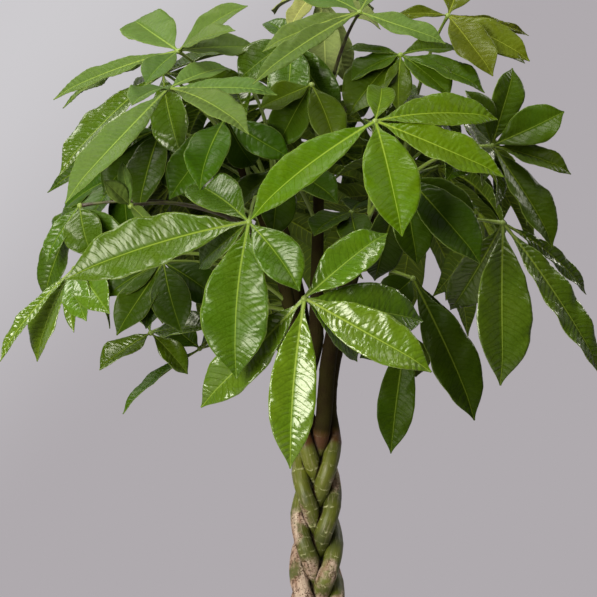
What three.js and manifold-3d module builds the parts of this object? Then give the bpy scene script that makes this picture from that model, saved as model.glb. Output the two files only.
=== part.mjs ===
// Potted money tree: five braided stems in a filled pot, and a round crown of palmate leaves.
// Units are millimetres, +Z is up, and the origin is the centre of the flat underside of the pot.
// The front of the plant faces -Y.
import * as THREE from "three";
import { mergeVertices } from "three/addons/utils/BufferGeometryUtils.js";
import Module from "manifold-3d";

const wasm = await Module();
wasm.setup();

// Pot and soil
const GAP = 0.3;
const POT_HEIGHT = 185;
const POT_RIM_RADIUS = 108;
const POT_BASE_RADIUS = 82;
const POT_WALL = 6;
const POT_FLOOR = 8;
const RIM_BAND_HEIGHT = 24;
const RIM_BAND_STEP = 3;
const POT_EDGE_ROUND = 2;
const ROUND_SEGMENTS = 32;
const SOIL_TOP = 165;
const SOIL_MOUND = 4;
const SOIL_SHOULDER = 0.6;

// Colours
const POT_COLOUR = 0x8d8a86;
const SOIL_COLOUR = 0x3a2c22;
const STEM_COLOUR = 0x7d8a4a;
const LEAF_COLOUR = 0x3f7d24;

// Braided stems, thickest at the soil, turning round each other up to the crown and splayed above
const STEM_COUNT = 5;
const STEM_SIDES = 6;
const STEM_STEP = 27;
const STEM_ROOT_DEPTH = 40;
const STEM_RADIUS_LOW = 12.9;
const STEM_TAPER_BRAID = 3.8;
const STEM_TAPER_TOP = 3.6;
const TAPER_START = 120;
const TAPER_MIDDLE = 560;
const TAPER_END = 880;
const BRAID_PITCH = 275;
const BRAID_TURN_END = 534;
const BRAID_REST = 60;
const BRAID_PHASE = 0.66;
const BRAID_WIDE = 0.9;
const BRAID_ASIDE = -1.7;
const BRAID_DEEP = 0.85;
const BRAID_SQUARE = 0.1;
const ROOT_SPREAD = 0.42;
const ROOT_SPREAD_HEIGHT = 55;
const SPLAY_START = 575;
const SPLAY_POWER = 2;
const STEM_TOP = [850, 835, 800, 865, 905];
const SPLAY_REACH = [[-66, -40], [-48, 66], [52, -66], [86, 40], [6, -8]];
const SPLAY_LEAD = 2;
const PARTING = [[-9, -3], [-3.5, 2], [0, 3], [-3, -4], [-13, 0.5]];
const PARTING_RISE = [545, 585];
const PARTING_FALL = [600, 665];

// Leaves
const PETIOLE_SIDES = 4;
const PETIOLE_STEPS = 4;
const PETIOLE_ROOT_RADIUS = 2.6;
const PETIOLE_TIP_RADIUS = 1.5;
const PETIOLE_RISE = 0.18;
const PETIOLE_BEND_AT = 0.42;
const PETIOLE_CLIMB = 0.1;
const HUB_RADIUS = 3.4;
const BLADE_THICK = 1.7;
const BLADE_FOLD = 0.26;
const BLADE_SAG = 0.04;
const BACK_SAG = 0.1;
const BLADE_CLEAR = 0.5;
// Places along a leaflet and its share of the full width there
const BLADE_OUTLINE = [[0.1, 0.07], [0.33, 0.8], [0.6, 1.0], [0.85, 0.5]];
// Sideways swing and lift of a stalk, tried in turn, as shares of its length
const STALK_TRIES = [
  [0, 0], [0.12, 0], [-0.12, 0], [0, 0.12], [0.22, 0.05], [-0.22, 0.05], [0, -0.14], [0.3, 0.1],
  [-0.3, 0.1], [0.12, 0.2], [-0.12, 0.2], [0.2, -0.16], [-0.2, -0.16], [0.4, 0.2], [-0.4, 0.2], [0, 0.3],
];
// Depth moved, roll in radians and share of the length of a leaflet, tried in turn
const BLADE_TRIES = [
  [0, 0, 1], [0, 0.25, 1], [0, -0.25, 1], [-16, 0, 1], [16, 0, 1], [-32, 0, 1], [32, 0, 1],
  [-16, 0.4, 1], [16, -0.4, 1], [-32, -0.4, 1], [32, 0.4, 1], [-50, 0, 0.95], [50, 0, 0.95],
  [0, 0.6, 0.85], [0, -0.6, 0.85], [-30, 0, 0.75], [30, 0, 0.75], [-60, 0.5, 0.8], [60, -0.5, 0.8],
];
const VIEW_DISTANCE = 3000;
const VIEW_CENTRE = [-21.5, 705];

// A three.js geometry as a solid for joining and cutting
function solidOf(geometry) {
  const bare = geometry.index ? geometry.toNonIndexed() : geometry.clone();
  bare.deleteAttribute("normal");
  bare.deleteAttribute("uv");
  const merged = mergeVertices(bare, 1e-3);
  const mesh = new wasm.Mesh({
    numProp: 3,
    vertProperties: merged.attributes.position.array,
    triVerts: new Uint32Array(merged.index.array),
  });
  return new wasm.Manifold(mesh);
}

// A solid back as a named three.js mesh
function meshOf(name, solid, colour, roughness) {
  const data = solid.getMesh();
  const geometry = new THREE.BufferGeometry();
  const positions = new Float32Array(data.vertProperties);
  geometry.setAttribute("position", new THREE.BufferAttribute(positions, 3));
  geometry.setIndex(new THREE.BufferAttribute(new Uint32Array(data.triVerts), 1));
  geometry.computeVertexNormals();
  const material = new THREE.MeshStandardMaterial({ color: colour, roughness, flatShading: true });
  const mesh = new THREE.Mesh(geometry, material);
  mesh.name = name;
  return mesh;
}

// A closed body from rings of equal size, the first and last closed by a point
function bodyFromRings(start, rings, end) {
  const points = [start, ...rings.flat(), end];
  const size = rings[0].length;
  const faces = [];
  for (let i = 0; i < size; i++) {
    const next = (i + 1) % size;
    faces.push(0, 1 + next, 1 + i);
    for (let r = 0; r + 1 < rings.length; r++) {
      const low = 1 + r * size;
      const high = low + size;
      faces.push(low + i, low + next, high + next);
      faces.push(low + i, high + next, high + i);
    }
    const top = 1 + (rings.length - 1) * size;
    faces.push(top + i, top + next, points.length - 1);
  }
  const geometry = new THREE.BufferGeometry();
  const flat = points.flatMap((p) => [p.x, p.y, p.z]);
  geometry.setAttribute("position", new THREE.Float32BufferAttribute(flat, 3));
  geometry.setIndex(faces);
  return geometry;
}

// A round tube with flat ends along points, each with its own radius
function tube(points, radii, sides) {
  const rings = [];
  let across = new THREE.Vector3(1, 0, 0);
  points.forEach((point, i) => {
    const before = points[Math.max(i - 1, 0)];
    const after = points[Math.min(i + 1, points.length - 1)];
    const along = after.clone().sub(before).normalize();
    across = across.clone().addScaledVector(along, -across.dot(along)).normalize();
    const other = along.clone().cross(across);
    const ring = [];
    for (let s = 0; s < sides; s++) {
      const angle = (2 * Math.PI * s) / sides;
      ring.push(
        point
          .clone()
          .addScaledVector(across, radii[i] * Math.cos(angle))
          .addScaledVector(other, radii[i] * Math.sin(angle)),
      );
    }
    rings.push(ring);
  });
  return bodyFromRings(points[0], rings, points[points.length - 1]);
}

// Pot: one tapered shell with a thicker rim band and a flat underside
function potProfile() {
  const bandBottom = POT_HEIGHT - RIM_BAND_HEIGHT;
  const slope = (POT_RIM_RADIUS - POT_BASE_RADIUS) / POT_HEIGHT;
  const outer = (z) => POT_BASE_RADIUS + slope * z;
  return [
    [0, 0],
    [outer(0) - POT_EDGE_ROUND, 0],
    [outer(POT_EDGE_ROUND), POT_EDGE_ROUND],
    [outer(bandBottom) - RIM_BAND_STEP, bandBottom],
    [outer(bandBottom), bandBottom + RIM_BAND_STEP],
    [outer(POT_HEIGHT), POT_HEIGHT - POT_EDGE_ROUND],
    [outer(POT_HEIGHT) - POT_EDGE_ROUND, POT_HEIGHT],
    [outer(POT_HEIGHT) - POT_WALL, POT_HEIGHT],
    [innerRadius(POT_FLOOR), POT_FLOOR],
    [0, POT_FLOOR],
  ];
}

// Inside radius of the pot at a height
function innerRadius(z) {
  const slope = (POT_RIM_RADIUS - POT_BASE_RADIUS) / POT_HEIGHT;
  const top = POT_RIM_RADIUS - POT_WALL;
  return top - (POT_HEIGHT - z) * slope - RIM_BAND_STEP * (1 - z / POT_HEIGHT);
}

// A round body from radius and height pairs
function lathe(profile) {
  const points = profile.map(([r, z]) => new THREE.Vector2(r, z));
  const geometry = new THREE.LatheGeometry(points, ROUND_SEGMENTS);
  return geometry.rotateX(Math.PI / 2);
}

// Thickness of a stem at a height
function stemRadius(z) {
  const low = THREE.MathUtils.smoothstep(z, TAPER_START, TAPER_MIDDLE);
  const high = THREE.MathUtils.smoothstep(z, TAPER_MIDDLE, TAPER_END);
  return STEM_RADIUS_LOW - STEM_TAPER_BRAID * low - STEM_TAPER_TOP * high;
}

// Centre of one stem at a height: braided, standing apart in the soil and above the braid, then splayed
function stemPoint(k, z) {
  let turned = Math.min(z, BRAID_TURN_END);
  const past = THREE.MathUtils.clamp(z - BRAID_TURN_END, 0, BRAID_REST);
  turned += past - (past * past) / (2 * BRAID_REST);
  const angle = 2 * Math.PI * (turned / BRAID_PITCH + k / STEM_COUNT + BRAID_PHASE);
  const spacing = 2 * stemRadius(Math.min(z, SPLAY_START));
  const rooted = THREE.MathUtils.clamp((SOIL_TOP + ROOT_SPREAD_HEIGHT - z) / ROOT_SPREAD_HEIGHT, 0, 1);
  const reach = spacing * (1 + ROOT_SPREAD * rooted * rooted * (3 - 2 * rooted));
  const point = new THREE.Vector3(
    BRAID_WIDE * reach * (Math.sin(angle) - BRAID_SQUARE * Math.sin(3 * angle)) + BRAID_ASIDE,
    -BRAID_DEEP * reach * Math.sin(2 * angle),
    z,
  );
  const rise = Math.max(z - SPLAY_START, 0) / (STEM_TOP[k] - SPLAY_START);
  const splay = Math.pow(rise, SPLAY_POWER);
  const opened = THREE.MathUtils.smoothstep(z, ...PARTING_RISE);
  const apart = opened * (1 - THREE.MathUtils.smoothstep(z, ...PARTING_FALL));
  const [dx, dy] = SPLAY_REACH[k];
  const [px, py] = PARTING[k];
  point.x += splay * dx + apart * px;
  point.y += splay * dy + apart * py;
  return point;
}

// One stem, or the same stem grown on all sides for the clearance around it
function stemTube(k, grow) {
  const bottom = SOIL_TOP - STEM_ROOT_DEPTH;
  const top = STEM_TOP[k];
  const count = Math.round((top - bottom) / STEM_STEP);
  const points = [];
  const radii = [];
  for (let i = 0; i <= count; i++) {
    const z = bottom + ((top - bottom) * i) / count;
    points.push(stemPoint(k, z));
    radii.push(stemRadius(z) + grow / Math.cos(Math.PI / STEM_SIDES));
  }
  if (grow > 0) {
    const below = points[0].clone().sub(points[1]).setLength(grow);
    const above = points[count].clone().sub(points[count - 1]).setLength(grow);
    points[0].add(below);
    points[count].add(above);
  }
  return tube(points, radii, STEM_SIDES);
}

// Each compound leaf: the stem it grows from and how high, its hub, the way its blades face,
// and its leaflets as [x, y, z of the tip, width]. Places are as seen from the front.
const FRONT_LEAVES = [
  { stem: 1, from: 800, hub: [-76, -240, 789], face: [-0.1, -0.85, 0.5], tips: [
    [-280, -232, 727, 62], [-91, -275, 617, 70], [-20, -275, 714, 46], [-141, -150, 834, 50],
    [-134, -185, 738, 34]] },
  { stem: 3, from: 700, hub: [-15, -255, 705], face: [0, -0.9, 0.45], tips: [
    [-31, -275, 517, 48], [126, -290, 626, 52], [-132, -222, 585, 48], [77, -225, 779, 46],
    [118, -205, 681, 58], [46, -180, 635, 30]] },
  { stem: 3, from: 790, hub: [63, -230, 900], face: [0, -0.75, 0.66], tips: [
    [-75, -280, 794, 44], [93, -290, 775, 57], [205, -250, 840, 46], [199, -205, 905, 44],
    [70, -150, 940, 30]] },
  { stem: 1, from: 840, hub: [-164, -150, 936], face: [-0.1, -0.6, 0.8], tips: [
    [-280, -230, 812, 46], [-205, -255, 920, 38], [-95, -80, 960, 36], [-45, -195, 932, 28],
    [-76, -250, 890, 40]] },
  { stem: 2, from: 826, hub: [-154, -60, 977], face: [-0.15, -0.7, 0.7], tips: [
    [-78, -85, 1028, 36], [-92, -130, 1001, 34], [-293, -40, 926, 26], [-204, 50, 1012, 56],
    [-284, 15, 917, 18], [-66, -40, 982, 40], [-190, -110, 942, 34]] },
  { stem: 4, from: 800, hub: [191, -120, 873], face: [0.5, -0.7, 0.5], tips: [
    [216, -90, 960, 36], [271, -110, 911, 44], [280, -120, 844, 32], [260, -135, 762, 48],
    [163, -140, 934, 44]] },
  { stem: 4, from: 740, hub: [203, -150, 788], face: [0.3, -0.85, 0.4], tips: [
    [203, -180, 609, 62], [315, -140, 621, 38], [299, -90, 710, 20], [145, -90, 690, 44]] },
  { stem: 5, from: 885, hub: [46, -120, 1020], face: [-0.1, -0.78, 0.62], tips: [
    [-72, -200, 943, 28], [-25, -60, 1044, 44], [141, -150, 987, 28], [72, -20, 1062, 38],
    [-62, -140, 979, 28]] },
  { stem: 4, from: 855, hub: [143, -40, 1016], face: [0.1, -0.85, 0.5], tips: [
    [160, 30, 1070, 46], [234, -60, 968, 38], [233, 20, 995, 12], [193, -90, 952, 44],
    [230, 0, 965, 34], [85, -60, 1017, 16]] },
  { stem: 5, from: 860, hub: [91, -80, 973], face: [0, -0.5, 0.86], tips: [
    [30, -60, 979, 22], [33, -100, 907, 62], [88, -125, 912, 30], [146, -110, 927, 46],
    [185, -90, 934, 40], [160, -30, 978, 38],
    [36, -90, 946, 40]] },
  { stem: 1, from: 770, hub: [-262, -20, 807], face: [-0.35, -0.85, 0.4], tips: [
    [-300, -40, 746, 26], [-302, 10, 703, 38], [-248, -60, 750, 46], [-215, -40, 745, 44],
    [-292, 60, 760, 36]] },
  { stem: 1, from: 730, hub: [-268, -60, 738], face: [-0.5, -0.6, 0.6], tips: [
    [-352, -90, 637, 22], [-311, -60, 636, 50], [-270, -90, 668, 18], [-256, -120, 681, 34],
    [-231, -130, 690, 40]] },
  { stem: 2, from: 830, hub: [-170, -50, 953], face: [-0.5, -0.6, 0.6], tips: [
    [-287, -100, 843, 48], [-77, -60, 940, 36], [-220, 60, 900, 44], [-150, -105, 860, 44],
    [-84, 40, 975, 44]] },
  { stem: 1, from: 755, hub: [-206, -190, 807], face: [-0.2, -0.8, 0.5], tips: [
    [-216, -200, 856, 14], [-236, -210, 835, 20], [-181, -235, 782, 14]] },
  { stem: 1, from: 820, hub: [-102, -110, 903], face: [-0.2, -0.9, 0.4], tips: [
    [-130, -165, 826, 46], [-165, -130, 815, 46], [-70, -60, 850, 40], [-30, -120, 860, 36]] },
  { stem: 3, from: 770, hub: [96, -185, 840], face: [0.2, -0.9, 0.4], tips: [
    [180, -230, 745, 54], [172, -165, 780, 50], [110, -200, 742, 44], [62, -60, 722, 44]] },
  { stem: 3, from: 730, hub: [104, -110, 727], face: [0.2, -0.9, 0.3], tips: [
    [174, -130, 571, 54], [180, -60, 618, 18], [70, -120, 700, 40]] },
  { stem: 3, from: 690, hub: [98, -120, 670], face: [0, -0.95, 0.2], tips: [
    [80, -130, 534, 40], [108, -100, 618, 34], [46, -130, 640, 32]] },
  { stem: 1, from: 690, hub: [-184, -60, 667], face: [-0.2, -0.6, 0.75], tips: [
    [-241, -110, 628, 36], [-120, -110, 674, 44], [-143, -60, 622, 28], [-205, 10, 715, 32]] },
  { stem: 2, from: 700, hub: [-130, 0, 650], face: [-0.6, -0.3, 0.7], tips: [
    [-217, -30, 580, 34], [-62, 70, 655, 40], [-85, -10, 700, 40], [-160, 90, 680, 40]] },
  { stem: 3, from: 760, hub: [37, -60, 800], face: [0, -0.3, 0.95], tips: [
    [-5, -120, 775, 40], [105, -100, 785, 42], [48, -140, 760, 38], [50, 30, 810, 40]] },
  { stem: 5, from: 900, hub: [0, 20, 1044], face: [-0.1, -0.6, 0.8], tips: [
    [8, -40, 925, 38], [-32, -60, 1000, 26], [-50, 80, 1020, 40], [60, 100, 1020, 40],
    [34, 10, 940, 34], [70, 40, 1002, 34]] },
  { stem: 5, from: 840, hub: [-7, -100, 940], face: [0, -0.8, 0.6], tips: [
    [-64, -120, 915, 32], [-45, -110, 870, 46], [20, -130, 870, 40]] },
  { stem: 2, from: 800, hub: [-215, 40, 842], face: [-0.6, -0.5, 0.6], tips: [
    [-298, 40, 745, 48], [-262, -10, 765, 48], [-205, -20, 748, 46], [-180, 60, 760, 44],
    [-286, 110, 796, 40]] },
  { stem: 5, from: 890, hub: [-30, -40, 988], face: [-0.1, -0.7, 0.7], tips: [
    [-88, -70, 945, 46], [-38, -105, 905, 46], [24, -85, 905, 44], [-70, 40, 970, 40],
    [-58, 10, 1010, 26]] },
  { stem: 2, from: 815, hub: [-172, 10, 892], face: [-0.3, -0.8, 0.5], tips: [
    [-238, -10, 820, 46], [-198, -50, 802, 46], [-140, -40, 815, 46], [-215, 90, 850, 44],
    [-300, 0, 824, 26]] },
  { stem: 5, from: 780, hub: [-42, -70, 850], face: [0, -0.8, 0.6], tips: [
    [-102, -95, 795, 44], [-50, -130, 772, 44], [22, -120, 812, 42], [-60, 20, 800, 42]] },
  { stem: 1, from: 700, hub: [-170, -100, 745], face: [-0.2, -0.9, 0.4], tips: [
    [-222, -130, 665, 40], [-190, -120, 672, 34], [-150, -145, 668, 44], [-105, -100, 700, 40],
    [-232, -110, 708, 36]] },
];

// The leaves of the back, the top and the inside, spaced by a rule of even turns
const BACK_COUNT = 15;
const BACK_TURN = 2;
const CROWN_CENTRE = [0, 10, 820];
const CROWN_REACH = [185, 185, 165];
const BACK_LEAFLETS = 6;
const BACK_FAN = 0.86;
const BACK_LENGTH = 150;
const BACK_WIDTH = 48;
const BACK_DROOP = 0.42;
const BACK_HANG = 0.18;
const BACK_LOWEST = -0.15;
const BACK_HIGHEST = 0.85;
const BACK_LEAST_LEVEL = 0.1;
const BACK_MARGIN = 0.06;
const BACK_FACE_UP = 0.9;
const BACK_AHEAD_UP = 0.1;
const BACK_AHEAD_LEVEL = 0.5;
const BACK_FAN_VARIES = 0.2;
const BACK_SIDE_SHORTER = 0.12;
const BACK_SIZE_VARIES = 0.15;
const BACK_STALK_RISE = 70;
const BACK_STALK_LOWEST = 650;
const BACK_STALK_TOP = 22;
const RANDOM_SEED = 41;

// The same run of numbers from 0 to 1 each time
function randomRun(seed) {
  let state = seed;
  return () => {
    state = (state * 1664525 + 1013904223) % 4294967296;
    return state / 4294967296;
  };
}

// A place as seen from the front, moved to where it stands at its depth
function seen(x, y, z) {
  const scale = 1 + y / VIEW_DISTANCE;
  const [cx, cz] = VIEW_CENTRE;
  return new THREE.Vector3(cx + (x - cx) * scale, y, cz + (z - cz) * scale);
}

// The leaves that the front view shows, from their table
function frontLeaves() {
  return FRONT_LEAVES.map((row) => ({
    stem: row.stem - 1,
    from: row.from,
    hub: seen(...row.hub),
    face: new THREE.Vector3(...row.face).normalize(),
    sag: BLADE_SAG,
    blades: row.tips.map(([x, y, z, width]) => ({ tip: seen(x, y, z), width })),
  }));
}

// The rest of the crown: each hub on a rounded shell, with leaflets fanned round it and drooping
function backLeaves() {
  const random = randomRun(RANDOM_SEED);
  const leaves = [];
  for (let i = 0; i < BACK_COUNT; i++) {
    const height = BACK_LOWEST + ((BACK_HIGHEST - BACK_LOWEST) * (i + 0.5)) / BACK_COUNT;
    const turns = (i * BACK_TURN) / Math.PI;
    const side = Math.PI * (BACK_MARGIN + (1 - 2 * BACK_MARGIN) * (turns - Math.floor(turns)));
    const level = Math.sqrt(Math.max(1 - height * height, BACK_LEAST_LEVEL));
    const out = new THREE.Vector3(level * Math.cos(side), level * Math.sin(side), height);
    const hub = out.clone().multiply(new THREE.Vector3(...CROWN_REACH));
    hub.add(new THREE.Vector3(...CROWN_CENTRE));
    const face = out.clone().add(new THREE.Vector3(0, 0, BACK_FACE_UP)).normalize();
    const ahead = new THREE.Vector3(out.x, out.y, BACK_AHEAD_UP - BACK_AHEAD_LEVEL * out.z);
    ahead.addScaledVector(face, -ahead.dot(face)).normalize();
    const across = face.clone().cross(ahead);
    const blades = [];
    for (let b = 0; b < BACK_LEAFLETS; b++) {
      const turn = (b - (BACK_LEAFLETS - 1) / 2) * BACK_FAN + BACK_FAN_VARIES * (random() - 0.5);
      const share = 1 - BACK_SIDE_SHORTER * Math.abs(turn) + BACK_SIZE_VARIES * (random() - 0.5);
      const length = BACK_LENGTH * share;
      const tip = hub
        .clone()
        .addScaledVector(ahead, length * Math.cos(turn))
        .addScaledVector(across, length * Math.sin(turn))
        .addScaledVector(face, -length * BACK_DROOP);
      tip.z -= length * BACK_HANG;
      blades.push({ tip, width: BACK_WIDTH * share });
    }
    const stem = nearestStem(hub);
    const highest = STEM_TOP[stem] - BACK_STALK_TOP;
    const from = THREE.MathUtils.clamp(hub.z - BACK_STALK_RISE, BACK_STALK_LOWEST, highest);
    leaves.push({ stem, from, hub, face, sag: BACK_SAG, blades });
  }
  return leaves;
}

// The stem whose splay leads closest to a place
function nearestStem(place) {
  let best = 0;
  let least = Infinity;
  for (let k = 0; k < STEM_COUNT; k++) {
    const [dx, dy] = SPLAY_REACH[k];
    const away = Math.hypot(place.x - SPLAY_LEAD * dx, place.y - SPLAY_LEAD * dy);
    if (away < least) {
      least = away;
      best = k;
    }
  }
  return best;
}

// Leaf stalk: rises from inside its stem and bends over to the hub
function petioleTube(leaf, swing, lift, grow) {
  const start = stemPoint(leaf.stem, leaf.from);
  const reach = leaf.hub.clone().sub(start);
  const side = new THREE.Vector3(-reach.y, reach.x, 0).normalize();
  const control = start.clone().addScaledVector(reach, PETIOLE_BEND_AT);
  control.z += Math.abs(reach.z) * PETIOLE_CLIMB + reach.length() * (PETIOLE_RISE + lift);
  control.addScaledVector(side, swing * reach.length());
  const curve = new THREE.QuadraticBezierCurve3(start, control, leaf.hub);
  const points = [];
  const radii = [];
  for (let i = 0; i <= PETIOLE_STEPS; i++) {
    const t = i / PETIOLE_STEPS;
    points.push(curve.getPoint(t));
    radii.push(PETIOLE_ROOT_RADIUS + (PETIOLE_TIP_RADIUS - PETIOLE_ROOT_RADIUS) * t + grow);
  }
  return tube(points, radii, PETIOLE_SIDES);
}

// One leaflet: an arched blade folded up a little from its rib, cut to a point at both ends
function bladeBody(leaf, blade, tip, roll, grow) {
  const hub = leaf.hub;
  const reach = tip.clone().sub(hub);
  const length = reach.length();
  const along = reach.clone().normalize();
  let up = leaf.face.clone().addScaledVector(along, -leaf.face.dot(along)).normalize();
  up = up.applyAxisAngle(along, roll);
  const place = (t) => hub
    .clone()
    .addScaledVector(reach, t)
    .addScaledVector(up, 4 * leaf.sag * length * t * (1 - t));
  const side = along.clone().cross(up);
  const rings = BLADE_OUTLINE.map(([t, share]) => {
    const middle = place(t);
    const slope = reach.clone().addScaledVector(up, 4 * leaf.sag * length * (1 - 2 * t)).normalize();
    const over = side.clone().cross(slope).normalize();
    const half = (blade.width / 2) * share + grow;
    const thick = BLADE_THICK / 2 + grow;
    const edge = middle.clone().addScaledVector(over, BLADE_FOLD * half);
    return [
      edge.clone().addScaledVector(side, half),
      middle.clone().addScaledVector(over, -thick),
      edge.clone().addScaledVector(side, -half),
      middle.clone().addScaledVector(over, thick),
    ];
  });
  return bodyFromRings(hub.clone(), rings, place(1));
}

const stemSolids = [];
for (let k = 0; k < STEM_COUNT; k++) {
  let stem = solidOf(stemTube(k, 0));
  for (let j = 0; j < k; j++) {
    stem = stem.subtract(solidOf(stemTube(j, GAP)));
  }
  stemSolids.push(stem);
}

const tree = new THREE.Group();
tree.name = "potted_money_tree";
tree.add(meshOf("pot", solidOf(lathe(potProfile())), POT_COLOUR, 0.6));

let soil = solidOf(
  lathe([
    [0, POT_FLOOR + GAP],
    [innerRadius(POT_FLOOR) - GAP, POT_FLOOR + GAP],
    [innerRadius(SOIL_TOP) - GAP, SOIL_TOP],
    [innerRadius(SOIL_TOP) * SOIL_SHOULDER, SOIL_TOP + SOIL_MOUND * SOIL_SHOULDER],
    [0, SOIL_TOP + SOIL_MOUND],
  ]),
);
for (let k = 0; k < STEM_COUNT; k++) {
  soil = soil.subtract(solidOf(stemTube(k, GAP)));
}
tree.add(meshOf("soil", soil, SOIL_COLOUR, 0.95));
stemSolids.forEach((solid, k) => {
  tree.add(meshOf("stem_" + (k + 1), solid, STEM_COLOUR, 0.7));
});

const leaves = [...frontLeaves(), ...backLeaves()];
const placed = [];

// Whether a body crosses one that is placed, its own leaf or stem apart
function crosses(body, own) {
  const box = body.boundingBox();
  return placed.some((other) => {
    if (other.owner === own) return false;
    for (let axis = 0; axis < 3; axis++) {
      if (other.box.min[axis] > box.max[axis]) return false;
      if (other.box.max[axis] < box.min[axis]) return false;
    }
    return body.intersect(other.body).volume() > 0;
  });
}

// Notes a body as placed
function keep(body, owner) {
  placed.push({ body, owner, box: body.boundingBox() });
}

// The stalks are placed first: each bends until it is clear of other stems and stalks
stemSolids.forEach((solid, k) => keep(solid, "stem" + k));
leaves.forEach((leaf) => {
  for (const [swing, lift] of STALK_TRIES) {
    const wide = solidOf(petioleTube(leaf, swing, lift, BLADE_CLEAR)).subtract(stemSolids[leaf.stem]);
    if (crosses(wide, "stem" + leaf.stem)) continue;
    leaf.stalk = solidOf(petioleTube(leaf, swing, lift, 0)).subtract(solidOf(stemTube(leaf.stem, GAP)));
    keep(leaf.stalk, leaf);
    return;
  }
});

// Then each leaflet bends clear of other leaves, and the leaf is joined at its hub
function bladeClearOf(leaf, blade) {
  for (const [deeper, roll, share] of BLADE_TRIES) {
    const tip = blade.tip.clone();
    tip.y += deeper;
    tip.sub(leaf.hub).multiplyScalar(share).add(leaf.hub);
    if (crosses(solidOf(bladeBody(leaf, blade, tip, roll, BLADE_CLEAR)), leaf)) continue;
    return solidOf(bladeBody(leaf, blade, tip, roll, 0));
  }
  return null;
}

leaves.filter((leaf) => leaf.stalk).forEach((leaf, i) => {
  const knob = new THREE.OctahedronGeometry(HUB_RADIUS).translate(...leaf.hub);
  let solid = leaf.stalk.add(solidOf(knob));
  for (const blade of leaf.blades) {
    const body = bladeClearOf(leaf, blade);
    if (!body) continue;
    keep(body, leaf);
    solid = solid.add(body);
  }
  solid = solid.subtract(solidOf(stemTube(leaf.stem, GAP)));
  const outside = solid.decompose().sort((a, b) => b.volume() - a.volume())[0];
  tree.add(meshOf("leaf_" + String(i + 1).padStart(2, "0"), outside, LEAF_COLOUR, 0.5));
});

export default tree;
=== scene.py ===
# Potted money tree: five braided stems in a plain pot, and a round crown of palmate leaves.
# Its front faces -Y. Sizes are in millimetres, and become metres when a mesh is made.
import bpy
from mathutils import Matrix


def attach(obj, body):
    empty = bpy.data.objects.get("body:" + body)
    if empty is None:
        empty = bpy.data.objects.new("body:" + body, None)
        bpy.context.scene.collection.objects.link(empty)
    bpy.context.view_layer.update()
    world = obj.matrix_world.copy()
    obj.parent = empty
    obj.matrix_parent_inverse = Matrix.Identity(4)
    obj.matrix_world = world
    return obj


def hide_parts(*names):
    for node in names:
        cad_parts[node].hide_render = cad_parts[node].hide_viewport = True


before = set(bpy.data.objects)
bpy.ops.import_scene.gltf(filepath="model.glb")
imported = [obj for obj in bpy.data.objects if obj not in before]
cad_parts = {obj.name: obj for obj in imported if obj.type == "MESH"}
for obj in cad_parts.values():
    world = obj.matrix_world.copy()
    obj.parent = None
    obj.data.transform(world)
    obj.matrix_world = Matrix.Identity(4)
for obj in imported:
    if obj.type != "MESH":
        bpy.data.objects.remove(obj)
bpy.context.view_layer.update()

import math

import bpy
import numpy as np
from mathutils import Vector, noise

# --- Pot ---
# One tapered pot of thrown stoneware, dipped in a satin warm grey glaze, with a thicker rim band.
# It stands on its flat underside and is open above the soil.
MM = 0.001
POT_HEIGHT = 185
POT_RIM_RADIUS = 108
POT_BASE_RADIUS = 82
POT_WALL = 6
POT_FLOOR = 8
RIM_BAND_HEIGHT = 24
RIM_BAND_STEP = 3
POT_AROUND = 128
LIP_ROUND = 2.6
FOOT_ROUND = 2.2
THROWING_RIPPLE = 0.12
THROWING_PITCH = 7.5
LIP_WEAR = 2.0
BAND_WEAR = 1.4
GLAZE_GREY = "#97928B"
GLAZE_PALE = "#B5B0A8"
GLAZE_SPECK = "#5D564E"
CLAY_EDGE = "#A98F76"
MAP_MARGIN = 0.02


def in_cell(low, high, share):
    """A place between two edges of a cell of the bake map, kept a margin off both."""
    return low + (high - low) * (MAP_MARGIN + (1 - 2 * MAP_MARGIN) * share)


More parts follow.
